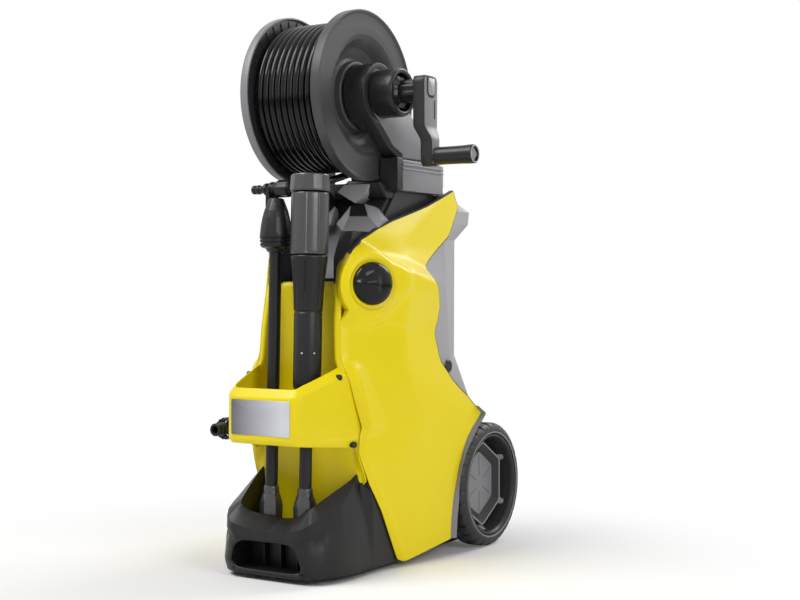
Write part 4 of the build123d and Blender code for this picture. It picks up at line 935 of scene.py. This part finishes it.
# Painted shade: the slot is a black plate that stands for the shade inside it.
slot_outline = rounded([(112, 606), (120, 606), (120, 616), (112, 616)], 2.0)
arm_core = joined([plate(arm_outline, 50.5, 70.5, "x", 1.6), plate(arm_root, 38.0, 52.0, "x", 1.6),
                   box((50.5, 108, 541.5), (80.5, 123, 589), 1.6),
                   turned(housing, reel_axis_at, reel_x, around=96)])
foot_box = joined([plate(box_outline, 66.0, 80.0, "x", 1.4)]
                  + [box((79.0, 122, z), (82.0, 240, z + 2.4)) for z in (578.5, 572.5)])
bridge = joined([box((-96, 150, 540), (-28, 160, 557), 1.6), box((-28.5, 150, 540), (66, 160, 570), 1.6)])
for name, shape, finish, slot, crisp, replaced in (
        ("yoke_right_core", arm_core, CHARCOAL, "dark_plastic", 32, ["yoke_arm_right"]),
        ("yoke_right_cheek", plate(cheek, 69.5, 72.4, "x", 0.9), GREY, "light_grey", 32, []),
        ("yoke_right_box", foot_box, GREY, "light_grey", 32, []),
        ("yoke_bridge", bridge, SATIN, "dark_plastic", 32, []),
        ("yoke_right_slot", plate(slot_outline, 68.0, 71.2, "x", 0.4), DEEP_BLACK_AND_SHADE, "dark_plastic", 35, [])):
    lay_piece(name, shape, finish, stands_for=replaced, crisp=crisp)

# %% [markdown]
# The bearing cap is a drum with a rolled lip. In its recess sits the crank's fluted hub: the flutes are
# waves in the radius, eight round the turn. The crank is a flat bar that bends outwards below the hub, so
# its section (a rectangle with rounded corners) is carried up the bar while its place and width change.

# %% Bearing cap and hub
cap_section = rounded([(72.2, 15), (72.2, 34.4), (74, 35), (104, 35), (108.5, 34), (110, 32.4), (110, 28.4),
                       (108, 27), (77, 26.6), (77, 15)], 0.9, steps=4)
lay_piece("cap_drum", turned(cap_section, reel_axis_at, reel_x, around=96), SATIN,
          stands_for=["bearing_cap"], crisp=30)


def flutes(along, angle, radius):
    """Eight rounded grooves, 1.8 mm deep, where the hub is thick."""
    return -0.9 * (1 + np.cos(8 * angle)) * (radius > 12)


hub_section = [(100, 0), (100, 22.5), (101, 23.6), (105.5, 23.6), (107, 20), (110, 17.2), (136.5, 16.6),
               (136.5, 0)]
hub = turned(hub_section, reel_axis_at, reel_x, around=96, loop=False, bumps=flutes)
lay_piece("crank_hub_fluted", hub, SATIN, "reel", ["crank_hub"])


# %% Crank bar and latch
def crank_bar(low_x, high_x, narrower, low_z, high_z):
    """Rings up the bar: place x = base + 8 mm outwards below the bend, half width from a table."""
    z = np.linspace(low_z, high_z, 60)
    half = np.interp(z, [569, 573, 583, 604, 627, 688, 693, 696], [6, 10, 12, 12, 19, 20, 18.5, 15])
    half, thick = half - narrower, high_x - low_x
    rings = []
    for height, out, wide in zip(z, low_x + 8.0 * (1 - hill(z, 604, 627)), half):
        section = rounded([(reel_y - wide, out), (reel_y + wide, out), (reel_y + wide, out + thick),
                           (reel_y - wide, out + thick)], min(2.0, 0.4 * thick), steps=3)
        rings.append(np.column_stack([section[:, 1], section[:, 0], np.full(len(section), height)]))
    return lofted(rings)


grip_at = np.array([0.0, reel_y, 583.0])
crank_core = joined([crank_bar(136.4, 154.4, 0.0, 569.2, 695.8),
                     bar(grip_at + (150, 0, 0), grip_at + (167, 0, 0), 11.0, around=32, edge=1.2),
                     bar(grip_at + (160, 0, 0), grip_at + (221, 0, 0), 6.0, around=24)])
lay_piece("crank_bar", crank_core, CHARCOAL, "reel", ["crank_arm"], crisp=32)
lay_piece("crank_face", crank_bar(154.0, 155.2, 2.2, 572.0, 693.5), GREY, "reel", crisp=32)
latch_u = rounded([(65, 696), (65, 672), (70, 665.6), (84, 665.6), (89, 672), (89, 696)], 4.0)
# Painted shade: the black U round the tab stands for the shade in the gap round the latch.
lay_piece("latch_gap_painted_shade", plate(latch_u, 151.0, 155.7, "x", 0.4), DEEP_BLACK_AND_SHADE, "latch", ["crank_latch"],
          crisp=32)
lay_piece("latch_tab", plate(inset(latch_u, 3.2), 152.0, 156.6, "x", 0.6), PALE, "latch",
          crisp=32)
# Painted shade: a thin black strip for the dark line of shade along an edge of the crank's face.
lay_piece("crank_edge_painted_shade", box((154.6, 86.2, 637), (155.9, 87.6, 663.5), 0.3), DEEP_BLACK_AND_SHADE, "reel")

# %% Crank grip
grip_section = rounded([(165.5, 7), (165.5, 12), (166.5, 12.8), (176, 12.5), (205, 12.7), (217, 13.3),
                        (224.5, 13.3), (225.4, 12.6), (225.4, 10.6), (221, 10), (221, 7)], 0.6, steps=3)
lay_piece("grip_sleeve", turned(grip_section, grip_at, reel_x), SATIN, "grip",
          ["crank_grip"], crisp=30)
grip_ring = rounded([(224.6, 10.4), (224.6, 12.6), (226, 12.2), (226, 10.4)], 0.4, steps=3)
lay_piece("grip_ring", turned(grip_ring, grip_at, reel_x), PALE, "grip")


def lobes(along, angle, radius):
    """Four lobes, as a cross recess leaves them."""
    return 1.1 * np.cos(4 * angle) * (radius > 3)


lobe_rows = [(219, 0), (219, 8), (223.6, 7.4), (224, 0)]
lobe_skin = turned(lobe_rows, grip_at, reel_x, loop=False, bumps=lobes)
lay_piece("grip_lobes", lobe_skin, GREY, "grip")

# %% [markdown]
# Under the reel the deck rises as a neck: a wedge whose front leans back and gets narrower, with a dark
# saddle above it that closes the gap to the flange, and a dark cheek on each side. The housing here is dark
# plastic; the wedge is light grey as painted light, for the light on its front. All are lofts of rounded
# rectangles.


# %% Neck, cheeks and saddle
def neck_loft(*levels):
    """A loft of rounded rectangles, each by its half width, front, back, height and sideways place."""
    rings = []
    for half, front, back, z, aside in levels:
        corners = [(aside - half, front), (aside + half, front), (aside + half, back), (aside - half, back)]
        rings.append(np.insert(rounded(corners, 4.0, steps=4), 2, z, axis=1))
    return lofted(rings)


neck = neck_loft((37, 20.5, 80, 412, 0), (32, 54, 110, 456, 0), (27, 86.5, 122, 500, 0))
neck_cheek = neck_loft((13, 20, 80, 412, 51), (15, 54, 110, 456, 48), (18, 84, 124, 500, 44),
                       (15, 116, 140, 540, 48))
saddle = neck_loft((46, 100, 168, 530, 20), (46, 88, 160, 545, 20), (43, 85, 150, 551.3, 20))
# Painted light: the wedge is grey for the light on the front of the dark housing.
lay_piece("neck_wedge_painted_light", neck, GREY, crisp=30)
lay_piece("neck_cheeks", both_sides(neck_cheek), CHARCOAL, crisp=30)
lay_piece("neck_saddle", saddle, SATIN, crisp=30)

# %% [markdown]
# The front of the neck is cut like a gem: flat facets that meet at straight creases, on each side of the
# middle. A soft surface can't show that, so the facets are a list of corner points and a list of which points
# each facet uses, and the block is closed behind. Like the wedge, the block is grey as painted light on the
# dark housing. Painted highlights and painted shade are laid on it as thin slabs of their own: pale on the
# facets that face the lamps, dark on the one that faces away. A small pale crown stands on top, a painted
# highlight on the neck's upper front.

# %% Neck facets
facet_at = np.array([(5, 60, 491), (14, 85, 519), (21, 70, 502), (19, 55, 480), (54, 70, 501), (38, 85, 521),
                     (61, 82, 515), (80, 68, 497), (78, 60, 483), (61, 45, 466)], float)
facet_rim = [0, 3, 9, 8, 7, 6, 5, 1]
facet_back = facet_at[facet_rim] * (0.8, 0, 1) + (8, 100, -3)
facet_faces = [[0, 3, 2, 1], [1, 2, 4, 5], [5, 4, 8, 7, 6], [3, 9, 8, 4, 2], list(range(17, 9, -1))]
facet_faces += [[facet_rim[k], facet_rim[(k + 1) % 8], 10 + (k + 1) % 8, 10 + k] for k in range(8)]
facets = (np.concatenate([facet_at, facet_back]), facet_faces)
# Painted light: the facet block is grey for the light on the dark housing's front.
lay_piece("neck_facets_painted_light", both_sides(facets), GREY, crisp=20, bevel=1.2)


# %% Painted highlights and shade on the facets, and the crown
def facet_slab(*corners):
    """One facet as a slab 1.9 mm thick: its outline, 4 percent smaller, moved out and in along its normal."""
    outline = facet_at[list(corners)]
    outline = outline + (outline.mean(0) - outline) * 0.04
    normal = np.cross(outline[1] - outline[0], outline[2] - outline[0])
    normal *= -np.sign(normal[1]) / np.linalg.norm(normal)
    return lofted(np.stack([outline - normal * 1.2, outline + normal * 0.7]))


# Painted light: pale slabs on the two facets that face the lamps, a dark slab on the one that faces away.
bright = joined([facet_slab(0, 3, 2, 1), facet_slab(5, 4, 8, 7, 6)])
lay_piece("neck_painted_light_facets", both_sides(bright), PALE, crisp=20, bevel=0.5)
lay_piece("neck_painted_shade_facet", both_sides(facet_slab(1, 2, 4, 5)), SATIN, crisp=20, bevel=0.5)
# Painted highlight: the crown is pale for the light on the neck's upper front.
crown_front = np.array([(-11, 86, 540), (23, 82, 522), (38, 86, 534), (48, 86, 551), (9, 86, 556)], float)
crown = lofted(np.stack([crown_front, crown_front + (0, 30, 0)]))
lay_piece("neck_crown_painted_highlight", crown, PALE, crisp=30, bevel=1.0)

# %% [markdown]
# ## Lances
# Each lance is a stack of turned pieces on one slanted axis: a foot fitting, a tube, and at the top either
# the round rotor nozzle or the long spray nozzle with its sleeve and cap. The profiles are lists of
# (distance up from the foot, radius). Faceted parts get their flats from a wave in the radius that goes
# round the turn six, eight or twelve times, and grip slots are narrow dips at a few angles.

# %% Lance axis and facets
lance_lean = np.array([0.0, 11.0, 378.0]) / math.hypot(11.0, 378.0)


def lance_foot(side):
    """The point at the foot of a lance's axis, left (-1) or right (1)."""
    return np.array([29.0 * side, -51.0, 82.0])


def flats(count, low, high, share):
    """Between two distances r becomes a polygon's: r cos(pi / count) / cos(angle from the side's middle)."""
    def wave(along, angle, radius):
        half = np.pi / count
        polygon = radius * (math.cos(half) / np.cos((angle + half) % (2 * half) - half) - 1)
        return share * polygon * hill(along, low - 2, low + 2) * (1 - hill(along, high - 2, high + 2))
    return wave


def slots(angles, low, high, depth, width):
    """Dips -depth exp(-(a / width)^4), with a the angle away from each given place, between two distances."""
    def dip(along, angle, radius):
        away = [(angle - place + np.pi) % (2 * np.pi) - np.pi for place in angles]
        return -depth * np.sum(np.exp(-(np.array(away) / width) ** 4), 0) * (along > low) * (along < high)
    return dip


# %% Foot fittings and tubes
fitting_rows = [(-12, 0), (-12, 13), (-10, 15.4), (0, 16), (14, 16.2), (20, 15), (30, 11.6), (33, 10.8),
                (37, 10.6), (40, 10.2), (40.6, 8)]
fine_rows = rounded(fitting_rows, 1.4, steps=4, closed=False)
for word, side in (("rotor", -1), ("spray", 1)):
    foot = turned(fine_rows, lance_foot(side), lance_lean, around=96, loop=False,
                  bumps=flats(6, -8, 31, 0.75))
    top_cap = list(range(len(foot[0]) - 96, len(foot[0])))
    lay_piece(f"{word}_foot", (foot[0], foot[1] + [top_cap]), SLATE, f"{word}_lance",
              [f"{word}_lance_fitting"], crisp=30)

# %% [markdown]
# The rotor nozzle is a bulb with two dark ring grooves just under its widest part and soft flats that run
# up to its crown.

# %% Rotor nozzle
bulb = [(366, 0), (366, 10.5), (368, 12.5), (371, 14), (372.5, 19.5), (375, 21.6), (378, 22.2),
        (378.6, 20.8), (380, 20.8), (380.6, 22.6), (383, 22.8), (383.6, 21.6), (385, 21.6), (385.6, 23),
        (394, 23), (404, 22), (414, 20.2), (424, 17.6), (433, 14), (438, 11.6), (441, 10.4), (442.2, 8),
        (442.2, 0)]
bulb_skin = turned(rounded(bulb, 0.9, steps=3, closed=False), lance_foot(-1), lance_lean, around=128,
                   loop=False, bumps=flats(10, 392, 436, 0.7))
lay_piece("rotor_bulb", bulb_skin, SATIN, "rotor_lance", ["rotor_nozzle"], crisp=26)

# %% [markdown]
# The spray lance has a slim lower sleeve with two small bright pins, a taper, a turning sleeve with grip
# slots, and a wide cap. A groove marks each joint between them.

# %% Spray lance body
stem = [(175.8, 0), (175.8, 17), (177.5, 18.8), (184, 19.6), (281, 19.6), (282, 18.7), (284, 18.7), (285, 20),
        (312, 21.2), (330, 22.6), (352, 25.2), (358, 26), (360, 25.6), (361, 24), (361.5, 12), (444, 12),
        (444, 0)]
stem_skin = turned(rounded(stem, 0.8, steps=3, closed=False), lance_foot(1), lance_lean, around=144,
                   loop=False, bumps=slots((-1.2, -0.15, 3.3, 4.3), 286, 352, 1.4, 0.06))
lay_piece("spray_stem", stem_skin, SATIN, "spray_lance", ["spray_lance_body"], crisp=26)
pins = []
for angle in (0.19, 1.12):
    way = np.array([math.sin(angle), -math.cos(angle), 0.03])
    middle = lance_foot(1) + lance_lean * 226.0
    pins.append(bar(middle + way * 17.0, middle + way * 20.1, 1.5, around=14))
lay_piece("spray_pins", joined(pins), STEEL, "spray_lance")
sleeve_rows = rounded([(362, 12.6), (362, 25), (363, 26.2), (366, 26.5), (438, 26.3), (446, 26), (447.6, 25),
                       (447.6, 12.6)], 0.8, steps=3)
sleeve_skin = turned(sleeve_rows, lance_foot(1), lance_lean, around=160,
                     bumps=slots((-1.95, -1.1, -0.42, 0.35, 1.3, 2.3, 3.6), 364, 446, 1.3, 0.05))
lay_piece("sleeve_skin", sleeve_skin, SLATE, "spray_head", ["spray_sleeve"], crisp=26)
cap_rows = rounded([(446, 7), (446, 17), (448.6, 17.5), (449.2, 27.6), (451, 28.6), (470, 27.2), (472.6, 26),
                    (473, 21), (466, 8), (446, 7)], 0.9, steps=3)
cap_skin = turned(cap_rows, lance_foot(1), lance_lean, around=128, bumps=flats(12, 450, 471, 0.9))
lay_piece("cap_skin", cap_skin, SLATE, "spray_head", ["spray_cap"], crisp=26)

# %% [markdown]
# ## Switch knob
# The knob is a glossy dome on the switch's slanted axis, with a raised pointer that starts narrow at the rim
# and widens towards the middle. In polar terms its height is rim + dome * sqrt(1 - (r/R)^2) plus the
# pointer, whose cross-section is a roof.

# %% Knob
knob_r, knob_rim, knob_dome = 30.0, 8.0, 13.0
knob_side = np.array([-knob_axis[1], knob_axis[0], 0.0])
knob_up = np.array([0.0, 0.0, 1.0])
share = np.concatenate([np.linspace(0, 0.96, 30), [0.98, 0.992, 1.0]])[:, None]
turn = np.linspace(0, 2 * np.pi, 129)[None, :-1]
dome = knob_rim + knob_dome * np.sqrt(1 - share ** 2)
leftwards, upwards = -share * np.cos(turn) * knob_r, share * np.sin(turn) * knob_r
roof_half = 3.0 + 11.0 * np.clip((28 - leftwards) / 28, 0, 1.2)
roof = 4.4 * np.clip(1.25 - np.abs(upwards) / roof_half, 0, 1)
roof = roof * hill(leftwards, -9, 2) * (1 - hill(leftwards, 24, 30))
skirt_r = np.array([30.2, 30.2, 29.0, 0.0])[:, None]
skirt_height = np.array([6.0, 2.4, 1.6, 1.6])[:, None]
radius = np.concatenate([knob_r * share, skirt_r]) + 0 * turn
height = np.concatenate([dome + roof, skirt_height + 0 * turn])
knob_points = (knob_at + height[..., None] * knob_axis + radius[..., None]
               * (np.cos(turn)[..., None] * knob_side + np.sin(turn)[..., None] * knob_up))
knob_skin = (knob_points, grid_faces(*radius.shape, wrap_columns=True))
lay_piece("knob_dome", knob_skin, GLOSS, "knob", ["switch_knob"], crisp=42)

# %% [markdown]
# ## Wheels
# The tyre is turned about the axle from a rounded profile, with its tread cut by a rule: the turn is taken
# thirty times, and in the middle of each of these steps the radius drops by 2 mm, as a groove with soft
# walls. The steps of the outer shoulder are shifted by half a step, as on real tread blocks.

# %% Tyres
wheel_at = np.array([0.0, axle_y, axle_z])
tread_blocks, tread_deep = 30, 2.0
tyre_rows = [(99, 78), (99.4, 86), (101.5, 91), (105, 94), (108, 94.8), (111, tyre_r), (114, tyre_r),
             (117, tyre_r), (118, 93.4), (121, 93.4), (122, tyre_r), (126, tyre_r), (130, tyre_r),
             (133, 94.6), (136, 93.2), (138.6, 90),
             (140.4, 86), (141, 82), (140.6, 79.4), (139, 78.4), (137, 78), (136, 74.6), (104, 74.6),
             (101, 76)]


def tread(along, angle, radius):
    """The radius falls by the groove's depth in the middle of each step; below the shoulders it fades out."""
    place = (angle * tread_blocks / (2 * np.pi) + np.where(along > 119.5, 0.5, 0.0)) % 1.0
    groove = 1 - hill(np.abs(place - 0.5), 0.08, 0.14)
    return -tread_deep * groove * hill(radius, 87.5, 91)


tyre = turned(tyre_rows, wheel_at, reel_x, around=528, bumps=tread)
tyre_ring = turned(rounded([(136.5, 79.2), (136.5, 82.4), (140.9, 81.8), (140.9, 79.2)], 0.6, steps=3),
                   wheel_at, reel_x, around=120)

# %% [markdown]
# The wheel disc is a deep dish. In it stands the hub cover, a six-sided cap: a dark skirt, a light ridge, a
# dark slope that leads inwards, and in its floor a light face with thin seams. Six struts join its corners
# to the rim. The disc is turned, the struts are lofted, and the cap is a stack of hexagons of changing size.

# %% Discs
disc_rows = rounded([(93.6, 8), (93.6, 20), (103, 22), (103, 60), (96, 70), (96, 74.3), (136.2, 74.3),
                     (138.4, 77.6), (139.4, 77.2), (139.4, 74.2), (135, 72), (113, 69.5), (109, 66),
                     (108, 60), (108, 8)], 1.2, steps=3)
disc = turned(disc_rows, wheel_at, reel_x, around=120)
hub_corners = np.radians(30 + 60 * np.arange(6))


def hexagon(radius, x, soften=6.0):
    """A hexagon about the axle at distance x, one corner at the top, its corners rounded."""
    corners = np.column_stack([axle_y + radius * np.cos(hub_corners), axle_z + radius * np.sin(hub_corners)])
    return np.insert(rounded(corners, soften), 0, x, axis=1)


def strut(angle):
    """A wedge from the cap's corner to the rim, up to 14 mm wide, higher and narrower at the rim."""
    way = np.array([math.cos(angle), math.sin(angle)])
    across = np.array([-way[1], way[0]])
    foot = 107.5
    rings = []
    for reach, half, top in ((64, 7, 119.5), (67, 5.8, 120.5), (71, 4.5, 127)):
        section = [(foot, -half), (foot, half), (top - 2, half), (top, half - 2), (top, 2 - half),
                   (top - 2, -half)]
        rings.append([(x, *(wheel_at[1:] + way * reach + across * aside)) for x, aside in section])
    return lofted(rings)


struts = joined([strut(angle) for angle in hub_corners])


def stack(*levels):
    """A loft of hexagons; each level gives the hexagon's radius and its distance along the axle."""
    return lofted([hexagon(*level) for level in levels])


cap_skirt = stack((67, 107.5), (67.5, 109), (67, 120), (65.5, 121.6), (64.8, 121.6), (64.6, 108.6))
cap_ridge = stack((66.4, 108.8), (66.2, 122.2), (65.2, 123.2), (63.8, 123.2), (63.2, 121.6), (63.0, 109.0))
cap_slope = stack((63.8, 110), (63.8, 122), (62.6, 122), (50, 114.8), (49, 114.8))
cap_face = stack((49.8, 112), (49.6, 115.4), (48.8, 115.8), (10, 116.6, 2.0))
cap_seams = []
for angle in hub_corners:
    seam_from, seam_to = [wheel_at + (x, reach * math.cos(angle), reach * math.sin(angle))
                          for x, reach in ((116.4, 12), (115.7, 45))]
    cap_seams.append(bar(seam_from, seam_to, 0.5, around=6))

# %% Axle, and every wheel piece on both wheels
clips = [bar((x, axle_y, axle_z), (x + 2, axle_y, axle_z), 10, edge=0.4) for x in (110, -112)]
axle_rod = joined([bar((-116, axle_y, axle_z), (116, axle_y, axle_z), 5.0, around=24)] + clips)
lay_piece("axle_rod", axle_rod, STEEL, stands_for=["wheel_axle", "axle_clips"])
for name, shape, finish, slot, crisp, replaced in (
        ("tyre_skin", tyre, RUBBER, "tyre_rubber", 30, ["tyre_"]),
        ("tyre_ring", tyre_ring, GREY, "light_grey", 35, []),
        ("wheel_dish", disc, CHARCOAL, "light_grey", 30, ["wheel_disc_"]),
        ("wheel_struts", struts, GREY, "light_grey", 25, []),
        ("hub_skirt", cap_skirt, SATIN, "light_grey", 20, ["hub_cover_"]),
        ("hub_ridge", cap_ridge, PALE, "light_grey", 20, []),
        ("hub_slope", cap_slope, CHARCOAL, "light_grey", 20, []),
        ("hub_face", cap_face, GREY, "light_grey", 20, []),
        ("hub_seams", joined(cap_seams), CHARCOAL, "light_grey", 30, [])):
    for word, side_shape in (("right", shape), ("left", mirrored(shape))):
        lay_piece(f"{name}_{word}", side_shape, finish, f"wheel_{word}",
                  [start + word for start in replaced], crisp=crisp)

# %% [markdown]
# ## Small outside parts
# The lower cable hook is a round peg behind the right panel. The inlet's nipple is a stepped spigot with a
# sealing ring, turned about its own axis, and the nut round it has sixteen grip ribs.

# %% Peg and inlet
lay_piece("hook_peg", bar((84, 231, 279), (97, 231, 279), 10.5, around=48, edge=1.5), SATIN,
          stands_for=["cable_hook_lower"], crisp=30)
inlet_at, inlet_way = np.array([-118.0, -46.3, 196.0]), (0.0, -1.0, 0.0)
nipple_rows = rounded([(0, 5), (0, 10), (3, 10.2), (3.6, 8.4), (7, 8.4), (7.6, 9.8), (12, 9.8), (12.6, 7.6),
                       (15, 7.6), (15.6, 9.2), (18.6, 9.2), (19.7, 8.2), (19.7, 6), (18, 5)], 0.5, steps=3)
lay_piece("inlet_spigot", turned(nipple_rows, inlet_at, inlet_way, around=72), SATIN,
          stands_for=["inlet_nipple"], crisp=30)


def nut_ribs(along, angle, radius):
    """Sixteen grooves, 0.9 mm deep, leave the ribs between them on the nut's outside."""
    return -0.9 * (1 + np.cos(16 * angle)) * 0.5 * (radius > 14)


nut_rows = rounded([(-17.3, 12.6), (-17.3, 15.6), (-16, 16), (-2, 16), (-0.4, 15), (-0.4, 12.6)], 0.6,
                   steps=3)
lay_piece("inlet_nut_skin", turned(nut_rows, inlet_at, inlet_way, around=128, bumps=nut_ribs), SATIN,
          "inlet_nut", ["inlet_collar"], crisp=30)

# %% [markdown]
# ## The last of the frame
# Parts of the exact frame that already have the right shape stay as they are and only take a finish.

# %% Finishes on the frame's own parts
finish_of = {
    "yellow_shell": YELLOW, "black_plastic": BLACK, "dark_plastic": CHARCOAL, "grey_shell": GREY,
    "light_grey": PALE, "hose_rubber": HOSE, "tyre_rubber": RUBBER, "silver_plate": STEEL, "steel": STEEL,
    "cast_alloy": STEEL, "motor_paint": CHARCOAL}
slot_of = {part["node"]: part["material_slot"] for part in frame["record"]["subparts"]}
kept = [name for name, node in nodes.items() if not node.hide_render]
for name in kept:
    finish = PALE if name == "rear_shell" else finish_of[slot_of[name]]
    for material_slot in nodes[name].material_slots:
        material_slot.material = finish
print("kept from the frame:", kept)
